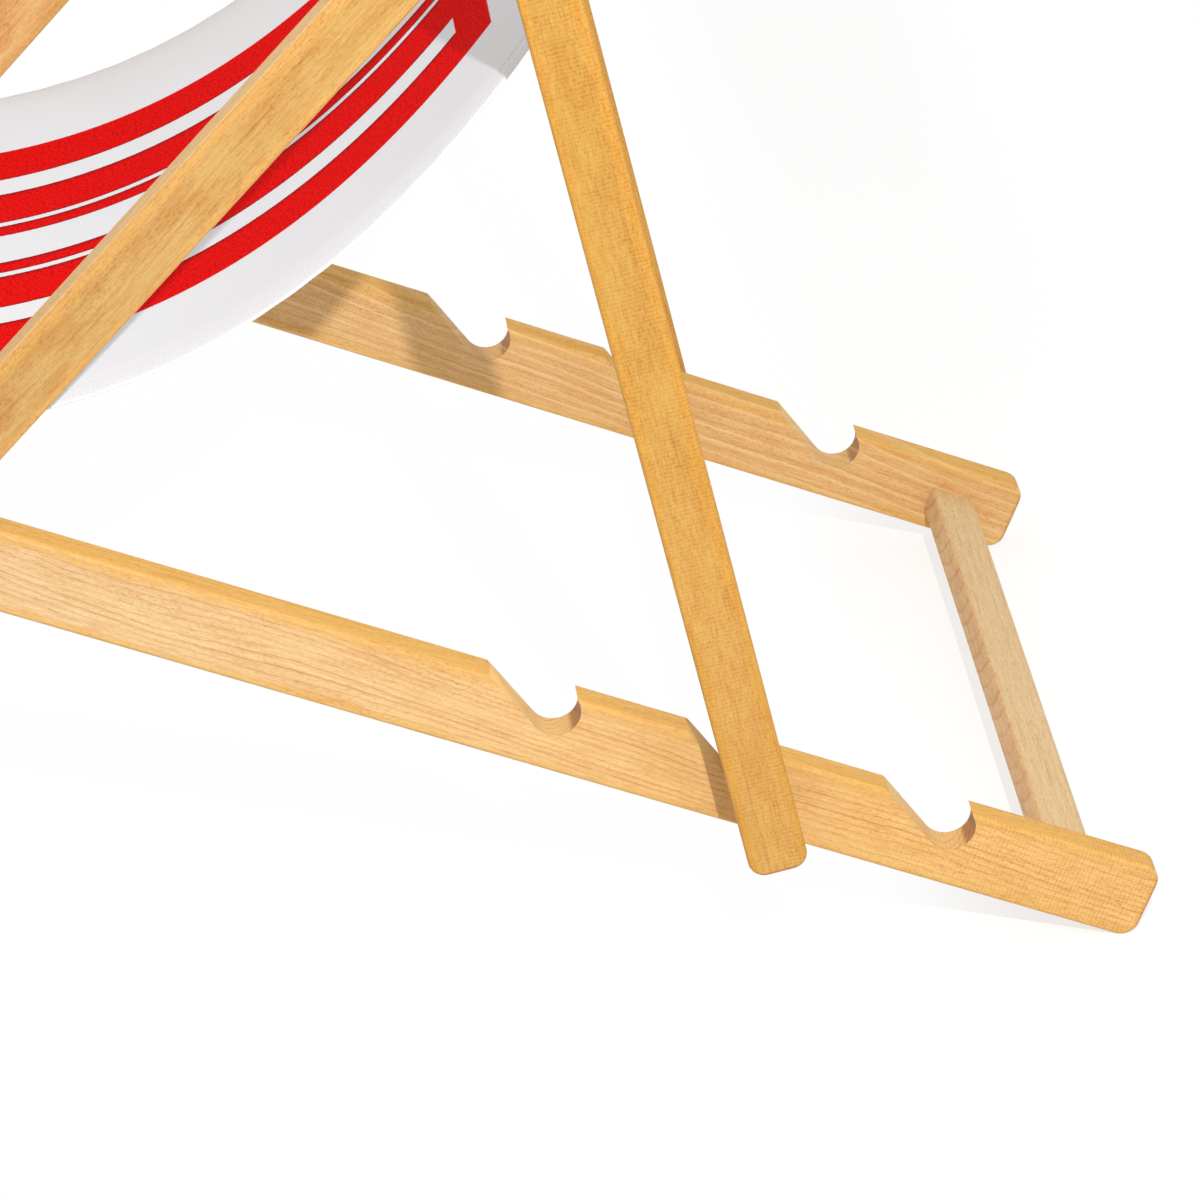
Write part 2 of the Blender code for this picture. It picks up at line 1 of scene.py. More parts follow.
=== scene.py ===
# %% [markdown]
# A folding deck chair in beech with a hanging canvas sling.
# The imported model already holds every timber, bolt and bar at its real size.
# This lesson dresses that model: it gives the timbers their grain, sews the canvas and sets the light.
# First the model is loaded.

# %% Load the chair
import json
from bisect import bisect_left
from math import acos, atan2, cos, pi, radians, sin

import bmesh
import bpy
from mathutils import Euler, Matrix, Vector
from mathutils import noise as simplex


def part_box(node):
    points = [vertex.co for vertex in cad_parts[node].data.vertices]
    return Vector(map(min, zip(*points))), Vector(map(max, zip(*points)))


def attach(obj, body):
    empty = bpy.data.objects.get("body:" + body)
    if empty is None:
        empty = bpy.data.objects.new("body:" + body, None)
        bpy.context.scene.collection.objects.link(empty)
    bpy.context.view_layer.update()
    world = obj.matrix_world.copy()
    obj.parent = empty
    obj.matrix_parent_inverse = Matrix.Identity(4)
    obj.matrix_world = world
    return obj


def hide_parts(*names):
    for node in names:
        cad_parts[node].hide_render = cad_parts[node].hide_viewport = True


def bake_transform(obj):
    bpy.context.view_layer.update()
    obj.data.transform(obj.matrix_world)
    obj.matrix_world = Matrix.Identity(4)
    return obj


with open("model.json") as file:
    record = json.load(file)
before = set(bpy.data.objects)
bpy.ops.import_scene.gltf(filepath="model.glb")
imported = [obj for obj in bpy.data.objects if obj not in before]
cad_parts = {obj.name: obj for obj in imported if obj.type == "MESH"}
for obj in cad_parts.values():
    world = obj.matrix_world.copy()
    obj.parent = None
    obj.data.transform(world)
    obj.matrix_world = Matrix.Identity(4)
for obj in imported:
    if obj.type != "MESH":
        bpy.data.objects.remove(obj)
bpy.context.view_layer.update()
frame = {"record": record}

MM = 0.001
scene = bpy.context.scene

# %% [markdown]
# The photograph looks along the chair's width from above and slightly from the rear, through a long lens.
# A long lens keeps parallel timbers nearly parallel, so the camera is three metres off with a narrow view.
# Two angles round a point on the chair place it, because angles can be read from the photograph.

# %% Camera
AIM = Vector((0.2038, 0.1803, 0.2008))
DISTANCE = 3.0
AZIMUTH = radians(84.584)
ELEVATION = radians(27.751)
LENS_MM = 169.03
SENSOR_MM = 36.0

toward_camera = Vector((
    sin(AZIMUTH) * cos(ELEVATION),
    -cos(AZIMUTH) * cos(ELEVATION),
    sin(ELEVATION),
))


def add_object(name, data):
    """A new object with this data, in the scene."""
    thing = bpy.data.objects.new(name, data)
    scene.collection.objects.link(thing)
    return thing


camera_data = bpy.data.cameras.new("studio_camera")
camera_data.lens = LENS_MM
camera_data.sensor_width = SENSOR_MM
camera = add_object("studio_camera", camera_data)
camera.location = AIM + DISTANCE * toward_camera
camera.rotation_euler = toward_camera.to_track_quat("Z", "Y").to_euler()
scene.camera = camera
print("camera at", [round(v, 3) for v in camera.location])

# %% [markdown]
# Colours are easiest to note as the screen shows them, from 0 to 255, but shaders work with linear light.
# This helper changes one into the other, so every colour below can be read like a paint chart.


# %% Colour helper
def linear(red, green, blue):
    """A colour as the screen shows it, 0 to 255, as linear light."""
    channels = []
    for value in (red, green, blue):
        share = value / 255
        channels.append(share / 12.92 if share <= 0.04045 else ((share + 0.055) / 1.055) ** 2.4)
    return (*channels, 1.0)


print("a screen grey of 128 is", round(linear(128, 128, 128)[0], 3), "in linear light")

# %% [markdown]
# Shader trees are long to wire by hand, so a few small helpers add one node each and return its output.
# A number or a colour goes to the socket, and another node's output is linked to it.


# %% Node helpers
def new_material(name):
    """An empty node material, its node tree and its output."""
    material = bpy.data.materials.new(name)
    material.use_nodes = True
    tree = material.node_tree
    tree.nodes.clear()
    return material, tree, tree.nodes.new("ShaderNodeOutputMaterial")


def add_node(tree, kind, sockets, **settings):
    """Add a node with its settings, and link or set its sockets."""
    node = tree.nodes.new(kind)
    for name, value in settings.items():
        setattr(node, name, value)
    for label, value in sockets.items():
        if isinstance(value, bpy.types.NodeSocket):
            tree.links.new(value, node.inputs[label])
        else:
            node.inputs[label].default_value = value
    return node


def maths(tree, operation, a, b=0.0, c=0.0):
    return add_node(tree, "ShaderNodeMath", {0: a, 1: b, 2: c}, operation=operation).outputs[0]


def times(tree, a, b):
    return maths(tree, "MULTIPLY", a, b)


def rest_of(tree, share):
    """What a share leaves of 1."""
    return maths(tree, "SUBTRACT", 1.0, share)


def between(tree, share, low, high):
    """low where share is 0 and high where it is 1."""
    return maths(tree, "MULTIPLY_ADD", share, high - low, low)


print("node helpers: add_node, maths, times, rest_of, between")

# %% [markdown]
# Patterns are masks from 0 to 1. The first helpers make a mask from a value, such as a height.
# The others make the values: noise, stretched along one direction or not, and the parts of a place.


# %% Masks
def smooth(tree, value, low, high):
    """0 below low, 1 above high and an even curve between them."""
    sockets = {"Value": value, "From Min": low, "From Max": high}
    return add_node(tree, "ShaderNodeMapRange", sockets, interpolation_type="SMOOTHSTEP").outputs["Result"]


def band(tree, value, low, high, soft=0.0005):
    """1 between two values and 0 outside them."""
    above = smooth(tree, value, low - soft, low + soft)
    return times(tree, above, rest_of(tree, smooth(tree, value, high - soft, high + soft)))


def noise(tree, vector, scale, detail=2.0, roughness=0.5):
    sockets = {"Vector": vector, "Scale": scale, "Detail": detail, "Roughness": roughness}
    return add_node(tree, "ShaderNodeTexNoise", sockets).outputs["Fac"]


def stretch(tree, vector, x, y, z):
    """Scale the three directions of a pattern by themselves."""
    return add_node(tree, "ShaderNodeVectorMath", {0: vector, 1: (x, y, z)}, operation="MULTIPLY").outputs[0]


def parts_of(tree, vector):
    node = add_node(tree, "ShaderNodeSeparateXYZ", {0: vector})
    return node.outputs["X"], node.outputs["Y"], node.outputs["Z"]


print("mask helpers: smooth, band, noise, stretch, parts_of")

# %% [markdown]
# A mask then changes a colour. Dark parts are laid on by multiplying, as stain does on real wood.
# The last helper joins a colour and a relief into a surface.


# %% Colours and surfaces
def blend_colour(tree, share, a, b, how="MIX"):
    sockets = {"Factor": share, 6: a, 7: b}
    return add_node(tree, "ShaderNodeMix", sockets, data_type="RGBA", blend_type=how).outputs[2]


def painted(tree, colour, share, strength, paint):
    """Cover a colour with paint, by a mask and its strength."""
    return blend_colour(tree, times(tree, share, strength), colour, linear(*paint))


def stained(tree, colour, share, strength, stain):
    """Darken a colour with stain, by a mask and its strength."""
    return blend_colour(tree, times(tree, share, strength), colour, linear(*stain), "MULTIPLY")


def surface(tree, output, values, relief=None, strength=0.0, height=0.0):
    """A surface with named values and, if one is given, a relief of this strength and height."""
    if relief is not None:
        bump = add_node(tree, "ShaderNodeBump", {"Height": relief, "Strength": strength, "Distance": height})
        values = {**values, "Normal": bump.outputs["Normal"]}
    shader = add_node(tree, "ShaderNodeBsdfPrincipled", values)
    tree.links.new(shader.outputs[0], output.inputs["Surface"])


print("ways to change a colour: blend_colour, painted, stained")

# %% [markdown]
# The studio has a white floor without an edge. It glows by itself.
# That keeps it white and leaves only faint shadows, as a product shot has.
# The glow is weaker where the rear ends rest, so a soft shadow there lets the chair stand and not float.

# %% Floor
FLOOR_SIZE = 30.0
FLOOR_PAINT = (0.9, 0.9, 0.9, 1.0)
GLOW_SHARE = 0.985
GLOW_SHARE_AT_REST = 0.7
REST_Y = (0.375, 0.54)
REST_SOFT = 0.045


def white_floor():
    material, tree, output = new_material("studio_white")
    paint = add_node(tree, "ShaderNodeBsdfDiffuse", {"Color": FLOOR_PAINT})
    glow = tree.nodes.new("ShaderNodeEmission")
    along = parts_of(tree, tree.nodes.new("ShaderNodeTexCoord").outputs["Object"])[1]
    share = between(tree, band(tree, along, *REST_Y, REST_SOFT), GLOW_SHARE, GLOW_SHARE_AT_REST)
    mix = add_node(tree, "ShaderNodeMixShader", {"Fac": share, 1: paint.outputs[0], 2: glow.outputs[0]})
    tree.links.new(mix.outputs[0], output.inputs["Surface"])
    return material


half_floor = FLOOR_SIZE / 2
floor_corners = [(x * half_floor, y * half_floor, 0) for x, y in ((-1, -1), (1, -1), (1, 1), (-1, 1))]
floor_mesh = bpy.data.meshes.new("studio_floor")
floor_mesh.from_pydata(floor_corners, [], [(0, 1, 2, 3)])
floor_mesh.materials.append(white_floor())
studio_floor = add_object("studio_floor", floor_mesh)
print("floor:", FLOOR_SIZE, "m square")

# %% [markdown]
# One small hard flash at the chair's left gives the crisp shadows on the timbers.
# The room around it is an even warm white, which fills those shadows.
# The Standard view keeps the colours as they are set, where a film look would dull the white.

# %% Light
KEY_FROM = Vector((1.0, 0.064, 0.855)).normalized()
KEY_DISTANCE = 2.05
KEY_SIZE = 0.034
KEY_WATTS = 37.0
KEY_COLOUR = (1.0, 0.995, 0.98)
SKY_COLOUR = (1.0, 0.985, 0.965, 1.0)
SKY_STRENGTH = 0.86

key_data = bpy.data.lights.new("key_flash", "AREA")
key_data.shape = "DISK"
key_data.size = KEY_SIZE
key_data.energy = KEY_WATTS
key_data.color = KEY_COLOUR
key = add_object("key_flash", key_data)
key.location = AIM + KEY_DISTANCE * KEY_FROM
key.rotation_euler = KEY_FROM.to_track_quat("Z", "Y").to_euler()

world = bpy.data.worlds.new("soft_room")
world.use_nodes = True
sky = world.node_tree.nodes["Background"]
sky.inputs["Color"].default_value = SKY_COLOUR
sky.inputs["Strength"].default_value = SKY_STRENGTH
scene.world = world
scene.view_settings.view_transform = "Standard"
scene.view_settings.look = "None"
print("key flash at", [round(v, 2) for v in key.location])

# %% [markdown]
# Beech is a pale wood under honey varnish. Close up it has several patterns, all drawn out along the timber.
# Each is laid in the timber's own directions: X through it, Y along it and Z down its depth.
# So the first step turns Object coordinates into those directions, and stretches noise along them.


# %% A timber's own directions
def timber_vector(tree, centre, slope, across=False):
    """Object coordinates turned into a timber's own directions, with its centre at zero."""
    turn = Euler((-slope, 0.0, pi / 2 if across else 0.0))
    where = tree.nodes.new("ShaderNodeTexCoord").outputs["Object"]
    sockets = {"Vector": where, "Rotation": turn, "Location": -(turn.to_matrix() @ Vector(centre))}
    return add_node(tree, "ShaderNodeMapping", sockets).outputs["Vector"]


def grain(tree, vector, across, along, detail=1.0, roughness=0.5):
    """Noise with this many waves in a metre across the timber and along it."""
    return noise(tree, stretch(tree, vector, across, along, across), 1.0, detail, roughness)


def spread(tree, value, reach):
    """A noise of 0 to 1 as a length from minus reach to plus reach."""
    return between(tree, value, -reach, reach)


print("directions of a timber: X through it, Y along it, Z down its depth")

# %% [markdown]
# Growth rings show as wavy brown lines: circles round a centre of growth beside the timber, cut by its faces.
# A picture of wood would break at every edge, but rings worked out in the solid meet on all faces.
# Each timber gets its own centre, and three noises bend the rings, so no two timbers look alike.

# %% Growth rings
YEAR_STEP = 7.31
RING_BENDS = (
    # waves across and along, detail, roughness, reach in metres
    (18.0, 5.5, 1.0, 0.5, 0.009),
    (60.0, 34.0, 2.0, 0.6, 0.0012),
    (300.0, 260.0, 1.0, 0.5, 0.00035),
)


def year_lines(tree, ring, sharpness=4.5):
    """Brown late wood, 0 to 1: it deepens slowly through each year and stops at once."""
    phase = maths(tree, "FRACT", ring)
    rise = maths(tree, "POWER", phase, sharpness)
    fall = rest_of(tree, smooth(tree, phase, 0.9, 1.0))
    year = times(tree, maths(tree, "FLOOR", ring), YEAR_STEP)
    year_place = add_node(tree, "ShaderNodeCombineXYZ", {"X": year}).outputs[0]
    strength = smooth(tree, noise(tree, year_place, 1.0, 0.0), 0.25, 0.75)
    return times(tree, times(tree, rise, fall), between(tree, strength, 0.25, 1.0))


def growth_rings(tree, vector, pith, lean, spacing):
    """Rings round a centre of growth beside the timber, which wander slowly and tremble finely."""
    x, y, z = parts_of(tree, vector)
    dx = maths(tree, "ADD", x, maths(tree, "MULTIPLY_ADD", y, lean[0], -pith[0]))
    dz = maths(tree, "ADD", z, maths(tree, "MULTIPLY_ADD", y, lean[1], -pith[1]))
    radius = maths(tree, "SQRT", maths(tree, "MULTIPLY_ADD", dx, dx, times(tree, dz, dz)))
    for *waves, reach in RING_BENDS:
        radius = maths(tree, "ADD", radius, spread(tree, grain(tree, vector, *waves), reach))
    return year_lines(tree, maths(tree, "DIVIDE", radius, spacing))


print("a ring bends by up to", round(sum(1000 * bend[-1] for bend in RING_BENDS), 2), "mm")

# %% [markdown]
# Short dark flecks, the wood's rays, lie between the rings.
# Some boards also show faint rows across, like linen, which the planer leaves.
# Both are broken up by a slower noise, because real wood never repeats evenly.

# %% Linen rows and flecks
ROWS_PER_METRE = 430.0
ROW_WANDER = 0.7
FLECKS_PER_METRE = (1000.0, 240.0, 1000.0)


def linen_rows(tree, vector):
    """Faint rows across the grain, broken into short strokes, 0 to 1."""
    along = parts_of(tree, vector)[1]
    wander = spread(tree, grain(tree, vector, 70.0, 60.0, 2.0, 0.6), ROW_WANDER)
    phase = maths(tree, "ADD", times(tree, along, ROWS_PER_METRE), wander)
    wave = maths(tree, "SINE", times(tree, phase, 2 * pi))
    strokes = grain(tree, vector, 520.0, 300.0)
    rows = times(tree, smooth(tree, wave, -0.7, 0.9), smooth(tree, strokes, 0.3, 0.66))
    patches = smooth(tree, grain(tree, vector, 35.0, 20.0), 0.3, 0.6)
    return times(tree, rows, between(tree, patches, 0.55, 1.0))


def flecks_of(tree, vector):
    """Short dark rays along the grain, some groups stronger than others."""
    sockets = {"Vector": stretch(tree, vector, *FLECKS_PER_METRE), "Scale": 1.0}
    spots = add_node(tree, "ShaderNodeTexVoronoi", sockets)
    fleck = rest_of(tree, smooth(tree, spots.outputs["Distance"], 0.12, 0.4))
    groups = smooth(tree, grain(tree, vector, 70.0, 16.0, 2.0), 0.4, 0.65)
    return times(tree, fleck, between(tree, groups, 0.35, 1.0))


print("rows in a metre:", ROWS_PER_METRE, "flecks in a metre:", FLECKS_PER_METRE[1])

# %% [markdown]
# On the seat rails the narrow sides' colour is partly painted light, making the upper face look more lit.
# Varnish is deepest along the edges, where it turns ochre with a ragged border.
# The narrow sides and the freshly cut notches have colours of their own, so each needs its mask.
# Every mask compares a place with the timber's half size: half its thickness, its length and its depth.

# %% Edges, sides and cuts
EDGE_REACH = 0.0075
EDGE_FADE = 0.0045
EDGE_WANDER = 0.006
EDGE_FRAY = 0.003
BROAD_SKIN = (0.0012, 0.0003)
DEEP_SKIN = (0.002, 0.001)
NARROW_SKIN = (0.0009, 0.0002)
END_SKIN = (0.003, 0.0008)


def at_faces(tree, value, half, skin):
    """0 inside a timber and 1 at its two outer faces, with a rise between two depths."""
    return smooth(tree, maths(tree, "ABSOLUTE", value), half - skin[0], half - skin[1])


def edge_depth(tree, vector, half, reach=EDGE_REACH):
    """1 on the upper and lower faces and on a ragged band beside them, fading into the broad face."""
    height = maths(tree, "ABSOLUTE", parts_of(tree, vector)[2])
    wander = spread(tree, grain(tree, vector, 50.0, 14.0, 2.0, 0.6), EDGE_WANDER)
    fray = spread(tree, grain(tree, vector, 400.0, 90.0, 2.0, 0.6), EDGE_FRAY)
    height = maths(tree, "ADD", height, maths(tree, "ADD", wander, fray))
    return smooth(tree, height, half[2] - reach, half[2] - reach + EDGE_FADE)


def cut_surface(tree, vector, half):
    """1 inside a notch, away from all the timber's outer faces."""
    x, _, z = parts_of(tree, vector)
    inside = rest_of(tree, at_faces(tree, x, half[0], BROAD_SKIN))
    return times(tree, inside, rest_of(tree, at_faces(tree, z, half[2], DEEP_SKIN)))


def narrow_side(tree, vector, half):
    """1 on the timber's upper and lower faces only."""
    return at_faces(tree, parts_of(tree, vector)[2], half[2], NARROW_SKIN)


print("the edge band is", 1000 * EDGE_REACH, "mm wide and fades over", 1000 * EDGE_FADE, "mm")

# %% [markdown]
# Some marks need a layer of their own: the fibres, the arches on a crossbar and the cut notches.
# Each function lays its marks over the colour so far and hands it on.

# %% Layers of the wood
STREAK = (226, 184, 134)
FIBRE_LAYERS = (
    # waves across and along, detail, roughness, where it starts and is full, strength
    (1300.0, 70.0, 2.0, 0.6, 0.42, 0.72, 0.34),
    (1700.0, 330.0, 1.0, 0.5, 0.45, 0.7, 0.24),
    (430.0, 9.0, 3.0, 0.65, 0.48, 0.72, 0.25),
)
ARCS_PER_METRE = 52.0
ARC_TILT = -45.0
ARC_BOW = 5500.0
ARC_SHARPNESS = 7.0
ARC_STRENGTH = 1.6
CHIP_WAVES = (420.0, 140.0, 2.0, 0.6)
CHIPS_NEAR_END = (0.05, 0.03)
PINK_CAST = (255, 240, 230)
CHIP = (130, 92, 52)
FRESH_CUT = (217, 178, 114)
# Painted shade under each notch's lip, where the hook keeps light off the seat.
LIP_SHADE = (166, 108, 44)
LIP_STARTS = 0.0115
LIP_ENDS = 0.02


def with_fibres(tree, vector, colour):
    """Fibres, short ticks and slow streaks over a colour, and the fibres by themselves."""
    patterns = []
    for *waves, low, high, strength in FIBRE_LAYERS:
        patterns.append(grain(tree, vector, *waves))
        colour = stained(tree, colour, smooth(tree, patterns[-1], low, high), strength, STREAK)
    return colour, patterns[0]


def with_arches(tree, vector, parts, half, colour, line):
    """Arches, a pink cast and a few chips on a crossbar's front face, and the new lines by themselves."""
    x, y, z = parts
    ring = maths(tree, "MULTIPLY_ADD", z, ARC_TILT, times(tree, y, ARCS_PER_METRE))
    bow = times(tree, times(tree, z, z), ARC_BOW)
    wander = spread(tree, grain(tree, vector, 60.0, 40.0, 2.0), 0.5)
    arches = year_lines(tree, maths(tree, "ADD", maths(tree, "ADD", ring, bow), wander), ARC_SHARPNESS)
    front = smooth(tree, x, half[0] - 0.002, half[0] - 0.0008)
    line = times(tree, line, between(tree, front, 0.5, 0.0))
    line = maths(tree, "ADD", line, times(tree, arches, times(tree, front, ARC_STRENGTH)))
    colour = stained(tree, colour, front, 1.0, PINK_CAST)
    chips = smooth(tree, grain(tree, vector, *CHIP_WAVES), 0.62, 0.68)
    near_end = smooth(tree, y, half[1] - CHIPS_NEAR_END[0], half[1] - CHIPS_NEAR_END[1])
    return stained(tree, colour, times(tree, chips, near_end), 0.8, CHIP), line


def with_notches(tree, vector, along, half, colour, notches):
    """Paler wood on the cut faces of the notches, and painted shade under each lip."""
    cut = cut_surface(tree, vector, half)
    colour = painted(tree, colour, cut, 0.85, FRESH_CUT)
    for notch in notches:
        # Painted shade on the cut face under each lip.
        painted_lip_shade = times(tree, cut, band(tree, along, notch + LIP_STARTS, notch + LIP_ENDS, 0.001))
        colour = stained(tree, colour, painted_lip_shade, 0.65, LIP_SHADE)
    return colour


print("arches are", round(1000 / ARCS_PER_METRE, 1), "mm apart")

# %% [markdown]
# Part of that change is painted light, which evens out the near flash's fall-off along the timber.
# The masks and layers now make one colour and one relief for a timber.
# The faces start in one colour at one end and pass to another, as the board changes.
# Varnish hides the rings along the edges, so they are calmed where it is deep.

# %% Beech under varnish
LATE_WOOD = (198, 134, 76)
FLECK = (196, 142, 96)
END_GRAIN = (216, 168, 116)
MINERAL = (206, 190, 176)
PALE_RAY = (228, 200, 150)
VARNISH_HIDES = 0.8
VARNISH_GLOSS = 0.16
CLOUD_WAVES = (75.0, 24.0, 4.0, 0.65)
MINERAL_WAVES = (260.0, 11.0, 2.0)
COLOUR_TURNS = (-0.5, 0.85)
LINEN_TURNS = (0.55, 0.9)
PALE_SHIFT = -0.011
PALE_LEAN = 0.03
PALE_SPACING = 1.6


def toward_end(tree, along, half, turns):
    """0 to 1 along a timber, between two shares of its half length."""
    return smooth(tree, along, turns[0] * half[1], turns[1] * half[1])


def varnish(tree, output, colour, fibre, fleck, rows):
    """A satin varnish with the relief of fibres, flecks and rows."""
    height = maths(tree, "SUBTRACT", times(tree, fibre, 0.5), times(tree, fleck, 0.5))
    height = maths(tree, "SUBTRACT", height, times(tree, rows, 0.6))
    roughness = between(tree, fibre, 0.42, 0.62)
    values = {"Base Color": colour, "Roughness": roughness, "Specular IOR Level": VARNISH_GLOSS}
    surface(tree, output, values, height, 0.3, 0.2 * MM)


def beech(name, centre, slope, half, faces, edge, side, pith, lean, rings, across=False, spacing=0.003,
          linen=(0.1, 0.1), flecks=0.4, mottle=0.25, pale=0.0, reach=EDGE_REACH, notches=(), arcs=False):
    """Varnished beech for one timber. half is its half size, faces the colours of its two ends."""
    material, tree, output = new_material(name)
    vector = timber_vector(tree, centre, slope, across)
    parts = parts_of(tree, vector)
    along = parts[1]

    turned = toward_end(tree, along, half, COLOUR_TURNS)
    colour = blend_colour(tree, turned, linear(*faces[0]), linear(*faces[1]))
    cloud = smooth(tree, grain(tree, vector, *CLOUD_WAVES), 0.38, 0.68)
    colour = stained(tree, colour, cloud, mottle, STREAK)
    depth = edge_depth(tree, vector, half, reach)
    colour = painted(tree, colour, depth, VARNISH_HIDES, edge)
    colour = blend_colour(tree, narrow_side(tree, vector, half), colour, linear(*side))
    colour, fibre = with_fibres(tree, vector, colour)

    line = growth_rings(tree, vector, pith, lean, spacing)
    if arcs:
        colour, line = with_arches(tree, vector, parts, half, colour, line)
    if notches:
        colour = with_notches(tree, vector, along, half, colour, notches)
    line = times(tree, line, between(tree, depth, 1.0, 1.0 - VARNISH_HIDES))
    colour = stained(tree, colour, line, rings, LATE_WOOD)
    if pale:
        pith, lean = (pith[0], pith[1] + PALE_SHIFT), (lean[0], lean[1] + PALE_LEAN)
        ray = growth_rings(tree, vector, pith, lean, PALE_SPACING * spacing)
        colour = painted(tree, colour, ray, pale, PALE_RAY)

    fleck = flecks_of(tree, vector)
    colour = stained(tree, colour, fleck, flecks, FLECK)
    strength = between(tree, toward_end(tree, along, half, LINEN_TURNS), *linen)
    rows = times(tree, linen_rows(tree, vector), strength)
    colour = stained(tree, colour, rows, 1.0, STREAK)
    mineral = smooth(tree, grain(tree, vector, *MINERAL_WAVES), 0.66, 0.76)
    colour = stained(tree, colour, mineral, 0.5, MINERAL)
    colour = stained(tree, colour, at_faces(tree, along, half[1], END_SKIN), 0.6, END_GRAIN)
    varnish(tree, output, colour, fibre, fleck, rows)
    return material


print("varnish hides", VARNISH_HIDES, "of the rings along the edges")

# %% [markdown]
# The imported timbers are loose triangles, which would show every facet.
# A copy of each is merged into one skin and shaded smoothly, with sharp lines only where an edge turns hard.
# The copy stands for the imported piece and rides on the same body.

# %% Smooth skins
SHARP_EDGE = radians(40)
WELD_WITHIN = 1e-6
FLAT_WITHIN = radians(0.5)


def body_of(node):
    """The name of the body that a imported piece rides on."""
    bodies = frame["record"]["behaviour"]["bodies"]
    return next(body for body, nodes in bodies.items() if node in nodes)


def merged_copy(node, name, sharp=SHARP_EDGE):
    """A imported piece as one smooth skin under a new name."""
    mesh = bpy.data.objects[node].data.copy()
    mesh.name = name
    work = bmesh.new()
    work.from_mesh(mesh)
    bmesh.ops.remove_doubles(work, verts=work.verts, dist=WELD_WITHIN)
    bmesh.ops.dissolve_limit(work, angle_limit=FLAT_WITHIN, verts=work.verts, edges=work.edges)
    work.to_mesh(mesh)
    work.free()
    mesh.materials.clear()
    mesh.shade_smooth()
    mesh.set_sharp_from_angle(angle=sharp)
    piece = add_object(name, mesh)
    weighted = piece.modifiers.new("even_shading", "WEIGHTED_NORMAL")
    weighted.keep_sharp = True
    return piece


def stand_in(piece, node, material):
    """Let a finished piece take a packed one's place, on the same body."""
    piece.data.materials.append(material)
    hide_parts(node)
    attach(piece, body_of(node))


def box_middle(node):
    low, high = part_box(node)
    return (Vector(low) + Vector(high)) / 2


def dress(node, slot, *sizes_and_colours, **looks):
    """Put a packed timber's smooth skin in its own beech."""
    piece = merged_copy(node, node + "_beech")
    wood = beech(node + "_varnished", box_middle(node), *sizes_and_colours, **looks)
    stand_in(piece, node, wood)


print("the top bar's middle is at", [round(v, 3) for v in box_middle("back_top_bar")])

# %% [markdown]
# The rest is painted light: far faces are raised and near ones lowered, to even out the near flash's fall-off.
# The rails and legs come in pairs, and the left one is always near the camera.
# Near and far rails were cut from different boards, which gives part of their different colours and their
# figure.
# One loop dresses both sides, because all else is mirrored.

# %% Rails and legs
RAIL_NOTCHES = (0.1596, 0.2741, 0.3886)
SEAT_SLOPE = radians(-20.976)
BACK_SLOPE = radians(48.0014)
STRUT_SLOPE = radians(-76.365)
SEAT_RAIL_HALF = (0.0095, 0.511, 0.0225)
BACK_RAIL_HALF = (0.009, 0.6283, 0.01725)
STRUT_LEG_HALF = (0.009, 0.3025, 0.016)
# Near and far face colours are partly painted light, which evens out the flash's fall-off.
NEAR_FACES = ((209, 182, 140), (213, 174, 110))
NEAR_EDGE = (204, 162, 94)
NEAR_FIGURE = {"rings": 0.85, "linen": (0.04, 0.42), "pale": 0.12}
FAR_FACES = ((206, 171, 119), (206, 166, 110))
FAR_EDGE = (204, 160, 92)
FAR_FIGURE = {"rings": 0.5, "linen": (0.2, 0.15), "pale": 0.75, "spacing": 0.0044}
# Seat rails' narrow sides: partly painted light, lighter so the upper face looks as lit as the broad face.
TOP_SIDE = (212, 167, 88)
# The far back rail is painted lighter than the near one, to make up for the flash's fall-off.
NEAR_BACK_FACES = ((185, 152, 96), (187, 150, 82))
FAR_BACK_FACES = ((214, 174, 117), (214, 174, 117))
BACK_EDGE = (196, 152, 86)
BACK_SIDE = (214, 180, 126)
# The strut is painted darker toward one end, to even out the near flash, which lights that end more.
STRUT_FACES = ((184, 145, 70), (194, 153, 84))
STRUT_EDGE = (192, 144, 64)

for side, sign in (("left", 1), ("right", -1)):
    near = sign > 0
    dress("seat_rail_" + side, "timber", SEAT_SLOPE, SEAT_RAIL_HALF, NEAR_FACES if near else FAR_FACES,
          NEAR_EDGE if near else FAR_EDGE, TOP_SIDE, pith=(-0.035 * sign, -0.055), lean=(0.01, 0.035),
          notches=RAIL_NOTCHES, **(NEAR_FIGURE if near else FAR_FIGURE))
    dress("back_rail_" + side, "timber", BACK_SLOPE, BACK_RAIL_HALF,
          NEAR_BACK_FACES if near else FAR_BACK_FACES, BACK_EDGE, BACK_SIDE,
          pith=(0.02, -0.08 * sign), lean=(0.012, 0.01), spacing=0.0036, rings=0.4, flecks=0.5, mottle=0.48)
    dress("strut_leg_" + side, "timber", STRUT_SLOPE, STRUT_LEG_HALF, STRUT_FACES, STRUT_EDGE, STRUT_EDGE,
          pith=(0.01, 0.09 * sign), lean=(0.0, 0.006), spacing=0.0042, rings=0.1, linen=(0.42, 0.42),
          flecks=0.35)

# %% [markdown]
# The bars run across the chair, so their grain is turned a quarter.
# The two flat crossbars are paler, and show arches on their front faces.
# A small table lists all five, because only their sizes and slopes differ.

# %% Bars
BAR_FACES = ((200, 164, 116), (200, 164, 116))
CROSSBAR_FACES = ((210, 187, 145), (212, 189, 147))
CROSSBAR_EDGE = (210, 184, 140)
CROSSBAR_HALF = (0.0142, 0.00805)
SLING_BAR_HALF = (0.013, 0.013)
DOWEL_HALF = (0.0125, 0.0125)

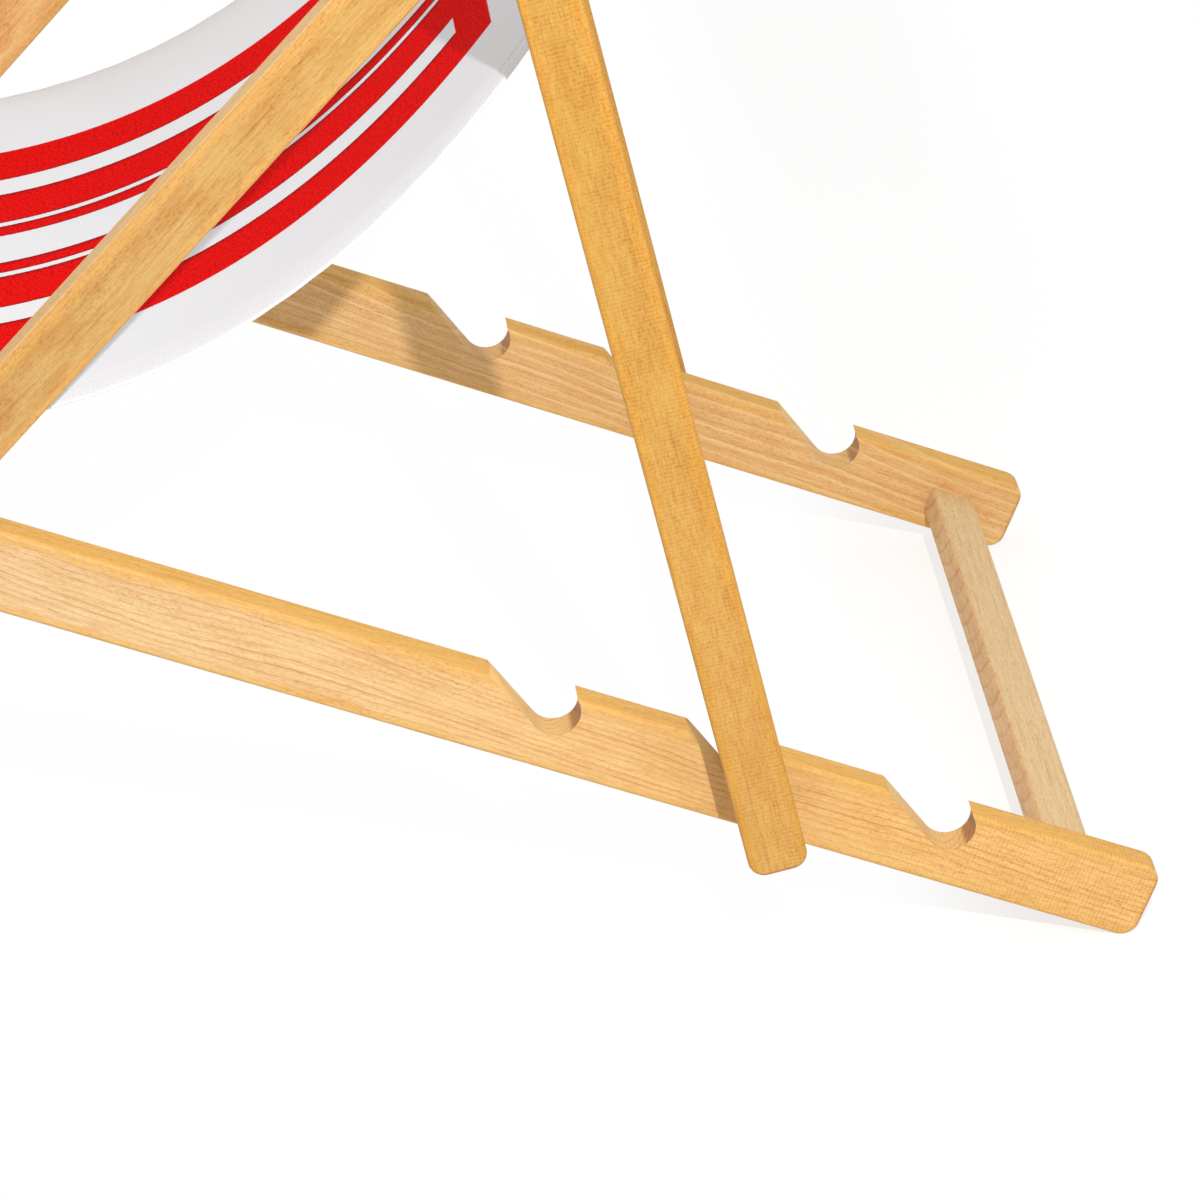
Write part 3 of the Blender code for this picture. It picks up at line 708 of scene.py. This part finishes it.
for node, slope, (half_width, half_depth) in (
    ("seat_rear_crossbar", SEAT_SLOPE, CROSSBAR_HALF),
    ("back_foot_crossbar", BACK_SLOPE, CROSSBAR_HALF),
    ("seat_front_bar", SEAT_SLOPE, SLING_BAR_HALF),
    ("back_top_bar", BACK_SLOPE, SLING_BAR_HALF),
    ("strut_dowel", STRUT_SLOPE, DOWEL_HALF),
):
    flat = "crossbar" in node
    low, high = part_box(node)
    half = (half_width, (high[0] - low[0]) / 2, half_depth)
    faces = CROSSBAR_FACES if flat else BAR_FACES
    edge = CROSSBAR_EDGE if flat else BAR_FACES[0]
    dress(node, "crossbar_timber" if flat else "timber", slope, half, faces, edge, edge,
          pith=(0.02, 0.03), lean=(0.012, 0.01), across=True, rings=0.6 if flat else 0.35,
          linen=(0.0, 0.0), reach=0.002, arcs=flat)
    print(node, "is", round(2 * half[1], 3), "m long")

# %% [markdown]
# The sling is one length of canvas.
# It goes round the front bar, hangs in a deep curve and goes round the top bar.
# Seen from the side that is a single line, so the line comes first: a sleeve, the hanging part, a sleeve.
# The hanging part is a Bezier curve, which two angles and two reaches describe.
# A cloth simulation could find the curve too, but the photograph already shows it.

# %% Side line of the canvas
BAR_RADIUS = 13 * MM
CLOTH_THICK = 0.75 * MM
SLEEVE_WRAP = BAR_RADIUS + 1.7 * MM
FRONT_ANGLE = radians(-24.7)
BACK_ANGLE = radians(57.3)
FRONT_REACH = 0.596
BACK_REACH = 0.332
SEAM_FROM_BAR = 0.048
FLAP_BEYOND_SEAM = 0.014
FLAP_BEHIND = 3.0 * MM
SHEET_STEPS = 280
SLEEVE_STEPS = 30
FLAP_STEPS = 16


def heading(angle):
    return Vector((cos(angle), sin(angle)))


def length_of(line):
    return sum((after - here).length for here, after in zip(line, line[1:]))


def left_of(direction):
    """The sitter's side of the canvas, for a line that runs from the front bar to the top bar."""
    return Vector((-direction.y, direction.x))


def hanging_line(front_bar, top_bar):
    """Points of the hanging canvas from the side, as (Y, Z), from the front bar to the top bar."""
    start = front_bar + SLEEVE_WRAP * heading(FRONT_ANGLE + pi / 2)
    end = top_bar + SLEEVE_WRAP * heading(BACK_ANGLE + pi / 2)
    pull_in = start + FRONT_REACH * heading(FRONT_ANGLE)
    pull_out = end - BACK_REACH * heading(BACK_ANGLE)
    line = []
    for i in range(SHEET_STEPS + 1):
        t = i / SHEET_STEPS
        u = 1 - t
        line.append(u**3 * start + 3 * u * u * t * pull_in + 3 * u * t * t * pull_out + t**3 * end)
    return line


front_bar = box_middle("seat_front_bar").yz
top_bar = box_middle("back_top_bar").yz
sheet_line = hanging_line(front_bar, top_bar)
sheet_length = length_of(sheet_line)
print("the canvas hangs", round(sheet_length, 4), "m from bar to bar")

# %% [markdown]
# The sleeves need two more steps: a point at any way along a line, and the canvas's path round a bar.
# The canvas leaves the bar on a tangent and lies flat behind the sheet, where the sleeve is sewn.


# %% Sleeves round the bars
def place_on(line, distance):
    """The point and the direction a given way along a line."""
    for here, after in zip(line, line[1:]):
        step = (after - here).length
        if distance <= step:
            return here + (after - here) * (distance / step), (after - here).normalized()
        distance -= step
    return line[-1], (line[-1] - line[-2]).normalized()


def sleeve_line(bar, sheet, turn):
    """Canvas from the sheet's first point round the bar and back along the sheet's back, to its raw end."""
    flap = []
    for i in range(FLAP_STEPS + 1):
        point, along = place_on(sheet, SEAM_FROM_BAR + FLAP_BEYOND_SEAM * i / FLAP_STEPS)
        flap.append(point - FLAP_BEHIND * turn * left_of(along))
    to_seam = flap[0] - bar
    start = atan2(*(sheet[0] - bar).yx)
    end = atan2(*to_seam.yx) - turn * acos(SLEEVE_WRAP / to_seam.length)
    sweep = (end - start) * turn % (2 * pi)
    around = [
        bar + SLEEVE_WRAP * heading(start + turn * sweep * i / SLEEVE_STEPS)
        for i in range(1, SLEEVE_STEPS + 1)
    ]
    leave = around[-1]
    straight = [leave.lerp(flap[0], i / FLAP_STEPS) for i in range(1, FLAP_STEPS)]
    return around + straight + flap


front_sleeve = sleeve_line(front_bar, sheet_line, 1)
top_sleeve = sleeve_line(top_bar, sheet_line[::-1], -1)
canvas_line = front_sleeve[::-1] + sheet_line + top_sleeve
front_sleeve_length = length_of(front_sleeve)

# %% [markdown]
# Across the chair the canvas is flat, with a hem folded to the back along each side.
# The section is one open line, from the raw edge of one hem to the raw edge of the other.

# %% Section across the canvas
CANVAS_WIDTH = 0.428
HEM_WIDTH = 14 * MM
HEM_BEHIND = 1.0 * MM
ACROSS_STEPS = 60
FOLD_STEPS = 5


def hem_section():
    """One hem of the cloth's section, from its raw edge round its fold, as (X, depth)."""
    half = CANVAS_WIDTH / 2
    fold = HEM_BEHIND / 2
    points = [(half - HEM_WIDTH, -HEM_BEHIND), (half - HEM_WIDTH / 2, -HEM_BEHIND)]
    for i in range(FOLD_STEPS + 1):
        angle = -pi / 2 + pi * i / FOLD_STEPS
        points.append((half - fold + fold * cos(angle), -fold + fold * sin(angle)))
    return points


def section_points():
    right = hem_section()
    left = [(-x, depth) for x, depth in reversed(right)]
    span = right[-1][0]
    middle = [(span - 2 * span * i / ACROSS_STEPS, 0.0) for i in range(1, ACROSS_STEPS)]
    return right + middle + left


print("points across the canvas:", len(section_points()))

# %% [markdown]
# Geometry Nodes need curve objects to work on, and a tree with named inputs for its sizes.
# These helpers make both, run a tree on an object and keep the result as a plain mesh.
# A modifier knows its inputs by identifier, so each name is looked up first.


# %% Helpers for Geometry Nodes
def line_object(name, rows):
    """A curve object with one straight-sided spline for each row of points."""
    curve = bpy.data.curves.new(name, "CURVE")
    curve.dimensions = "3D"
    for row in rows:
        spline = curve.splines.new("POLY")
        spline.points.add(len(row) - 1)
        for point, place in zip(spline.points, row):
            point.co = (*place, 1.0)
    return add_object(name, curve)


def new_tree(name, inputs):
    """A geometry tree with a geometry input and these named inputs."""
    tree = bpy.data.node_groups.new(name, "GeometryNodeTree")
    tree.interface.new_socket("Geometry", in_out="INPUT", socket_type="NodeSocketGeometry")
    tree.interface.new_socket("Geometry", in_out="OUTPUT", socket_type="NodeSocketGeometry")
    for label, kind in inputs.items():
        tree.interface.new_socket(label, in_out="INPUT", socket_type="NodeSocket" + kind)
    return tree, tree.nodes.new("NodeGroupInput"), tree.nodes.new("NodeGroupOutput")


def frozen(source, name, *helpers):
    """Keep the result of an object's modifiers as a plain mesh, without the object and its helpers."""
    bpy.context.view_layer.update()
    evaluated = source.evaluated_get(bpy.context.evaluated_depsgraph_get())
    mesh = bpy.data.meshes.new_from_object(evaluated)
    mesh.name = name
    for thing in (source, *helpers):
        bpy.data.objects.remove(thing, do_unlink=True)
    return add_object(name, mesh)


def grown(source, name, tree, values, *helpers):
    """Run a tree on an object, with its inputs set by identifier, and keep the result."""
    modifier = source.modifiers.new(name, "NODES")
    modifier.node_group = tree
    for item in tree.interface.items_tree:
        if item.item_type == "SOCKET" and item.in_out == "INPUT" and item.name in values:
            modifier[item.identifier] = values[item.name]
    return frozen(source, name, *helpers)


def finish_tree(tree, geometry, start, end):
    """End a tree: real meshes in place of instances, in the tree's material."""
    real = add_node(tree, "GeometryNodeRealizeInstances", {"Geometry": geometry})
    sockets = {"Geometry": real.outputs["Geometry"], "Material": start.outputs["Material"]}
    finish = add_node(tree, "GeometryNodeSetMaterial", sockets)
    tree.links.new(finish.outputs["Geometry"], end.inputs["Geometry"])


print("tree helpers: line_object, new_tree, frozen, grown, finish_tree")

# %% [markdown]
# The section swept along the side line is the whole sling, so the tree uses Curve to Mesh.
# It also stores how far each point is along and across the cloth, which the print and the weave need.


# %% Sweep the canvas
def length_along(tree, curve):
    """Keep each point's way along its own curve through later nodes."""
    capture = tree.nodes.new("GeometryNodeCaptureAttribute")
    capture.capture_items.new("FLOAT", "way")
    parameter = tree.nodes.new("GeometryNodeSplineParameter")
    tree.links.new(curve, capture.inputs["Geometry"])
    tree.links.new(parameter.outputs["Length"], capture.inputs["way"])
    return capture.outputs["Geometry"], capture.outputs["way"]


def store(tree, geometry, name, value):
    sockets = {"Geometry": geometry, "Name": name, "Value": value}
    return add_node(tree, "GeometryNodeStoreNamedAttribute", sockets).outputs["Geometry"]


def canvas_tree():
    tree, start, end = new_tree("canvas_sweep", {"Section": "Object", "Material": "Material"})
    section = add_node(tree, "GeometryNodeObjectInfo", {"Object": start.outputs["Section"]})
    sockets = {"Curve": start.outputs["Geometry"], "Normal": (1.0, 0.0, 0.0)}
    upright = add_node(tree, "GeometryNodeSetCurveNormal", sockets, mode="FREE")
    path, along = length_along(tree, upright.outputs["Curve"])
    profile, across = length_along(tree, section.outputs["Geometry"])
    sweep = add_node(tree, "GeometryNodeCurveToMesh", {"Curve": path, "Profile Curve": profile})
    cloth = store(tree, sweep.outputs["Mesh"], "along", along)
    finish_tree(tree, store(tree, cloth, "across", across), start, end)
    return tree


path_object = line_object("canvas_path", [[(0.0, p.x, p.y) for p in canvas_line]])
section_row = [(x, -depth, 0.0) for x, depth in reversed(section_points())]
section_object = line_object("canvas_section", [section_row])
print_side, print_tree, print_output = new_material("canvas_printed_side")
canvas_values = {"Section": section_object, "Material": print_side}
cloth_skin = grown(path_object, "canvas_skin", canvas_tree(), canvas_values, section_object)
print("canvas skin faces:", len(cloth_skin.data.polygons))

# %% [markdown]
# Real canvas is never quite flat.
# Slow waves cross it where it hangs free, and its hems droop and pucker between stitches.
# A function moves any point of the cloth the same way, so the seams can follow the canvas later.
# Near the bars the waves fade out, because there the canvas is pulled straight.

# %% Waves and puckers
WAVE_HEIGHT = 0.9 * MM
PUCKER_HEIGHT = 0.12 * MM
PUCKER_LENGTH = 0.024
PUCKER_REACH = 0.014
HEM_DROOP = 1.6 * MM
DROOP_REACH = 0.02
FADE_AT_BARS = 0.12
WAVES_PER_METRE = (9.0, 2.6)
WAVE_SEED = 3.1
PUCKER_WANDERS = 11.0
PUCKER_WANDER = 0.35
PUCKER_SEED = 7.7

sheet_ways = [0.0]
for before, after in zip(sheet_line, sheet_line[1:]):
    sheet_ways.append(sheet_ways[-1] + (after - before).length)
sheet_heights = [p.x for p in sheet_line]


def way_on_sheet(y):
    """The way along the hanging canvas at a place Y, and the direction of the canvas there."""
    i = min(max(bisect_left(sheet_heights, y), 1), len(sheet_line) - 1)
    before, after = sheet_line[i - 1], sheet_line[i]
    share = min(max((y - before.x) / (after.x - before.x), 0.0), 1.0)
    return sheet_ways[i - 1] + share * (after - before).length, (after - before).normalized()


def ease(value):
    value = min(max(value, 0.0), 1.0)
    return value * value * (3 - 2 * value)


def settled(point):
    """A point of the flat sweep, moved by the cloth's waves, puckers and drooping hems."""
    way, along = way_on_sheet(point.y)
    free = ease(way / FADE_AT_BARS) * ease((sheet_length - way) / FADE_AT_BARS)
    from_edge = CANVAS_WIDTH / 2 - abs(point.x)
    wave_place = Vector((point.x * WAVES_PER_METRE[0], way * WAVES_PER_METRE[1], WAVE_SEED))
    wave = simplex.noise(wave_place) * WAVE_HEIGHT
    wander = PUCKER_WANDER * simplex.noise(Vector((way * PUCKER_WANDERS, point.x, PUCKER_SEED)))
    pucker = PUCKER_HEIGHT * sin(2 * pi * (way / PUCKER_LENGTH + wander)) * ease(1 - from_edge / PUCKER_REACH)
    droop = HEM_DROOP * ease(1 - from_edge / DROOP_REACH)
    up = left_of(along) * free * (wave + pucker - droop)
    return Vector((point.x, point.y + up.x, point.z + up.y))


for vertex in cloth_skin.data.vertices:
    vertex.co = settled(vertex.co)
print("highest wave:", round(1000 * WAVE_HEIGHT, 2), "mm, hem droop:", round(1000 * HEM_DROOP, 2), "mm")

# %% [markdown]
# Cotton canvas is dull and slightly uneven. Threads show as a fine grain that is darkest between them.
# Modelled threads would need millions of faces, so they are a relief in the shader.
# The shader reads the two stored ways across and along the cloth, so the weave follows it round every curve.

# %% Woven cotton
THREADS_PER_METRE = 1250.0
THREAD_RELIEF = 0.12
THREAD_SHADE = (205, 200, 198)
CLOUD_SHADE = (215, 214, 214)
MIDDLE_WAY = HEM_WIDTH + CANVAS_WIDTH / 2 + (pi / 2 - 1) * HEM_BEHIND


def cloth_place(tree):
    """X across the chair from its middle, the way along the hanging canvas, and both as a vector."""
    ways = []
    for name, zero in (("across", MIDDLE_WAY), ("along", front_sleeve_length)):
        stored = add_node(tree, "ShaderNodeAttribute", {}, attribute_name=name)
        ways.append(maths(tree, "SUBTRACT", stored.outputs["Fac"], zero))
    vector = add_node(tree, "ShaderNodeCombineXYZ", {"X": ways[0], "Y": ways[1]})
    return (*ways, vector.outputs[0])


def canvas_shader(tree, output, colour, place):
    """Woven cotton: a dull surface with a fine relief of threads."""
    across, along, vector = place
    turns = 2 * pi * THREADS_PER_METRE
    weft, warp = (maths(tree, "SINE", times(tree, way, turns)) for way in (along, across))
    slub = noise(tree, vector, 900.0, 2.0, 0.6)
    threads = maths(tree, "MULTIPLY_ADD", times(tree, weft, warp), THREAD_RELIEF, slub)
    colour = stained(tree, colour, smooth(tree, threads, 0.42, 0.78), 0.22, THREAD_SHADE)
    cloud = smooth(tree, noise(tree, vector, 9.0), 0.35, 0.75)
    colour = stained(tree, colour, cloud, 0.08, CLOUD_SHADE)
    values = {"Base Color": colour, "Roughness": 0.85, "Specular IOR Level": 0.05}
    surface(tree, output, values, threads, 0.25, 0.12 * MM)


print("threads are", 1000 / THREADS_PER_METRE, "mm apart")

# %% [markdown]
# The print is a red panel on white canvas, with plain white stripes down it.
# A picture could be laid on, but a print measured out in metres stays sharp at any distance.
# Each stripe has a thin dark outline and a soft shade on one side, and the ink stops a little raggedly.

# %% Print
CANVAS_WHITE = (219, 221, 225)
PANEL_RED = (227, 11, 9)
PANEL_DEEP = (176, 6, 8)
PANEL_SHADE = (96, 10, 12)
PANEL_NEAR = 0.141
PANEL_FAR = -0.128
PANEL_TOP = 0.660
PANEL_FOOT = 0.150
PANEL_MIDDLE = (PANEL_NEAR + PANEL_FAR) / 2
STRIPE_MARGIN = 0.026
STRIPES = ((0.0, 0.036), (0.034, 0.005), (-0.034, 0.005), (0.086, 0.020), (-0.086, 0.020))
OUTLINE = 0.0012
SHADE_WIDTH = 0.006
SHARP_INK = 0.0003
INK_BLEED = 0.00055


def printed_colour(tree, place):
    """White canvas with the red panel and its stripes."""
    across, along, vector = place
    bleed = spread(tree, noise(tree, vector, 1100.0, 1.0), INK_BLEED)
    x = maths(tree, "ADD", across, bleed)
    y = maths(tree, "ADD", along, bleed)
    panel = times(tree, band(tree, x, PANEL_FAR, PANEL_NEAR), band(tree, y, PANEL_FOOT, PANEL_TOP))
    speckle = noise(tree, vector, 520.0, 3.0, 0.65)
    red = blend_colour(tree, smooth(tree, speckle, 0.42, 0.66), linear(*PANEL_RED), linear(*PANEL_DEEP))
    length = band(tree, y, PANEL_FOOT + STRIPE_MARGIN, PANEL_TOP - STRIPE_MARGIN, SHARP_INK)
    for place_across, width in STRIPES:
        low = PANEL_MIDDLE + place_across - width / 2
        high = low + width
        outline = band(tree, x, low - OUTLINE, high + OUTLINE, SHARP_INK)
        fading = rest_of(tree, smooth(tree, x, high, high + SHADE_WIDTH))
        shade = times(tree, fading, smooth(tree, x, high - 0.001, high))
        stripe = band(tree, x, low, high, SHARP_INK)
        red = painted(tree, red, times(tree, shade, length), 0.45, PANEL_SHADE)
        red = painted(tree, red, times(tree, outline, length), 0.75, PANEL_SHADE)
        red = painted(tree, red, times(tree, stripe, length), 1.0, CANVAS_WHITE)
    return blend_colour(tree, panel, linear(*CANVAS_WHITE), red)


place = cloth_place(print_tree)
canvas_shader(print_tree, print_output, printed_colour(print_tree, place), place)
plain_side, plain_tree, plain_output = new_material("canvas_plain_side")
canvas_shader(plain_tree, plain_output, linear(*CANVAS_WHITE), cloth_place(plain_tree))
print("panel:", round(PANEL_NEAR - PANEL_FAR, 3), "m wide,", round(PANEL_TOP - PANEL_FOOT, 3), "m long")

# %% [markdown]
# A skin has no thickness yet, but real canvas has an edge and another side.
# A thin closed section could be swept too, but Solidify keeps print and plain side apart by itself.

# %% Thickness
SHARP_FOLD = radians(50)


def thickened(skin, name, thick, back_material):
    """The skin with two sides and a rim, as a new piece."""
    skin.data.materials.append(back_material)
    solidify = skin.modifiers.new("cloth_thickness", "SOLIDIFY")
    solidify.thickness = thick
    solidify.offset = 0.0
    solidify.material_offset = 1
    solidify.material_offset_rim = 1
    piece = frozen(skin, name)
    piece.data.shade_smooth()
    piece.data.set_sharp_from_angle(angle=SHARP_FOLD)
    return piece


canvas = thickened(cloth_skin, "sling_canvas", CLOTH_THICK, plain_side)
print("canvas faces:", len(canvas.data.polygons), "materials:", [m.name for m in canvas.data.materials])

# %% [markdown]
# The hems and sleeves are sewn with thick white thread, in two rows on each side of the cloth.
# Each seam is first a line on the cloth, moved by the same waves, so that its stitches lie on the surface.

# %% Seam lines
HEM_ROWS = (3.6 * MM, 11.4 * MM)
SLEEVE_ROWS = (2.5 * MM, 9.5 * MM)
SEAM_INSET = 2.5 * MM
SEAM_STEPS = 60
SURFACE = CLOTH_THICK / 2 + 0.02 * MM


def seam_along(x, depth):
    """A seam down the whole canvas, at a place across it and a depth from its middle layer."""
    row = []
    befores = [canvas_line[0]] + canvas_line
    afters = canvas_line[1:] + [canvas_line[-1]]
    for before, here, after in zip(befores, canvas_line, afters):
        side = left_of((after - before).normalized())
        row.append(settled(Vector((x, here.x + depth * side.x, here.y + depth * side.y))))
    return row


def seam_across(way, depth):
    """A seam from hem to hem, at a way along the hanging canvas."""
    point, along = place_on(sheet_line, way)
    point = point + depth * left_of(along)
    reach = CANVAS_WIDTH / 2 - SEAM_INSET
    places = [reach - 2 * reach * i / SEAM_STEPS for i in range(SEAM_STEPS + 1)]
    return [settled(Vector((x, point.x, point.y))) for x in places]


seams = []
for edge in (-1, 1):
    for inset in HEM_ROWS:
        x = edge * (CANVAS_WIDTH / 2 - inset)
        seams.append(seam_along(x, SURFACE))
        seams.append(seam_along(x, -HEM_BEHIND - SURFACE))
for row in SLEEVE_ROWS:
    for way in (SEAM_FROM_BAR + row, sheet_length - SEAM_FROM_BAR - row):
        seams.append(seam_across(way, SURFACE))
        seams.append(seam_across(way, -FLAP_BEHIND - SURFACE))
print("seams:", len(seams))

# %% [markdown]
# Nobody places thousands of stitches by hand.
# Geometry Nodes put a point on each seam every few millimetres and a stitch on each point.
# A stitch is a small stretched ball.
# A little random size, from a fixed seed, keeps a row from looking printed.

# %% Stitches
STITCH_PITCH = 3.6 * MM
STITCH_LENGTH = 2.9 * MM
THREAD_RADIUS = 0.2 * MM
STITCH_SEED = 11
SMALLEST_STITCH = (0.85, 0.85, 0.9)
LARGEST_STITCH = (1.15, 1.15, 1.08)
THREAD_WHITE = (200, 199, 196)


def stitch_tree():
    kinds = {"Pitch": "Float", "Length": "Float", "Radius": "Float", "Seed": "Int", "Material": "Material"}
    tree, start, end = new_tree("stitch_rows", kinds)
    given = start.outputs
    sockets = {"Curve": given["Geometry"], "Length": given["Pitch"]}
    points = add_node(tree, "GeometryNodeCurveToPoints", sockets, mode="LENGTH")
    ball = add_node(tree, "GeometryNodeMeshUVSphere", {"Segments": 6, "Rings": 4, "Radius": 0.5})
    width = times(tree, given["Radius"], 2.0)
    size = add_node(tree, "ShaderNodeCombineXYZ", {"X": width, "Y": width, "Z": given["Length"]})
    sockets = {"Geometry": ball.outputs["Mesh"], "Scale": size.outputs[0]}
    stretched = add_node(tree, "GeometryNodeTransform", sockets)
    sockets = {"Min": SMALLEST_STITCH, "Max": LARGEST_STITCH, "Seed": given["Seed"]}
    vary = add_node(tree, "FunctionNodeRandomValue", sockets, data_type="FLOAT_VECTOR")
    rows = add_node(tree, "GeometryNodeInstanceOnPoints", {
        "Points": points.outputs["Points"],
        "Instance": stretched.outputs["Geometry"],
        "Rotation": points.outputs["Rotation"],
        "Scale": vary.outputs["Value"],
    })
    finish_tree(tree, rows.outputs["Instances"], start, end)
    return tree


def thread_material():
    material, tree, output = new_material("white_thread")
    surface(tree, output, {"Base Color": linear(*THREAD_WHITE), "Roughness": 0.7})
    return material


seam_object = line_object("seam_lines", seams)
stitches = grown(seam_object, "sling_stitches", stitch_tree(), {
    "Pitch": STITCH_PITCH,
    "Length": STITCH_LENGTH,
    "Radius": THREAD_RADIUS,
    "Seed": STITCH_SEED,
    "Material": thread_material(),
})
stitches.data.shade_smooth()
print("stitch faces:", len(stitches.data.polygons))

# %% [markdown]
# The canvas and stitches are baked in place, the imported sling is hidden, and a point near each bar is found.

# %% Bake the sling
STIFF_AT_BARS = 0.09

blend_start = (0.0, *place_on(sheet_line, STIFF_AT_BARS)[0])
blend_end = (0.0, *place_on(sheet_line, sheet_length - STIFF_AT_BARS)[0])
for piece in (canvas, stitches):
    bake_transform(piece)
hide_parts("sling")

# %% [markdown]
# The frames turn on zinc plated bolts, with a spacer, a washer and a nut on each side.
# They are small and plain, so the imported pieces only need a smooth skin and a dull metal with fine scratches.

# %% Steel fittings
ZINC = (176, 178, 178)
ZINC_BLOOM = (196, 194, 184)
SHARP_STEEL = radians(30)


def zinc_steel():
    material, tree, output = new_material("zinc_plate")
    where = tree.nodes.new("ShaderNodeTexCoord").outputs["Object"]
    scratch = noise(tree, stretch(tree, where, 4000.0, 500.0, 500.0), 1.0, 2.0, 0.6)
    bloom = smooth(tree, noise(tree, where, 260.0, 3.0, 0.6), 0.35, 0.7)
    colour = blend_colour(tree, bloom, linear(*ZINC), linear(*ZINC_BLOOM))
    roughness = between(tree, scratch, 0.22, 0.47)
    values = {"Base Color": colour, "Metallic": 1.0, "Roughness": roughness}
    surface(tree, output, values, scratch, 0.15, 0.05 * MM)
    return material


zinc = zinc_steel()
steel_nodes = [s["node"] for s in frame["record"]["subparts"] if s["material_slot"] == "steel"]
for node in steel_nodes:
    stand_in(merged_copy(node, node + "_zinc", SHARP_STEEL), node, zinc)
print("steel fittings:", len(steel_nodes))
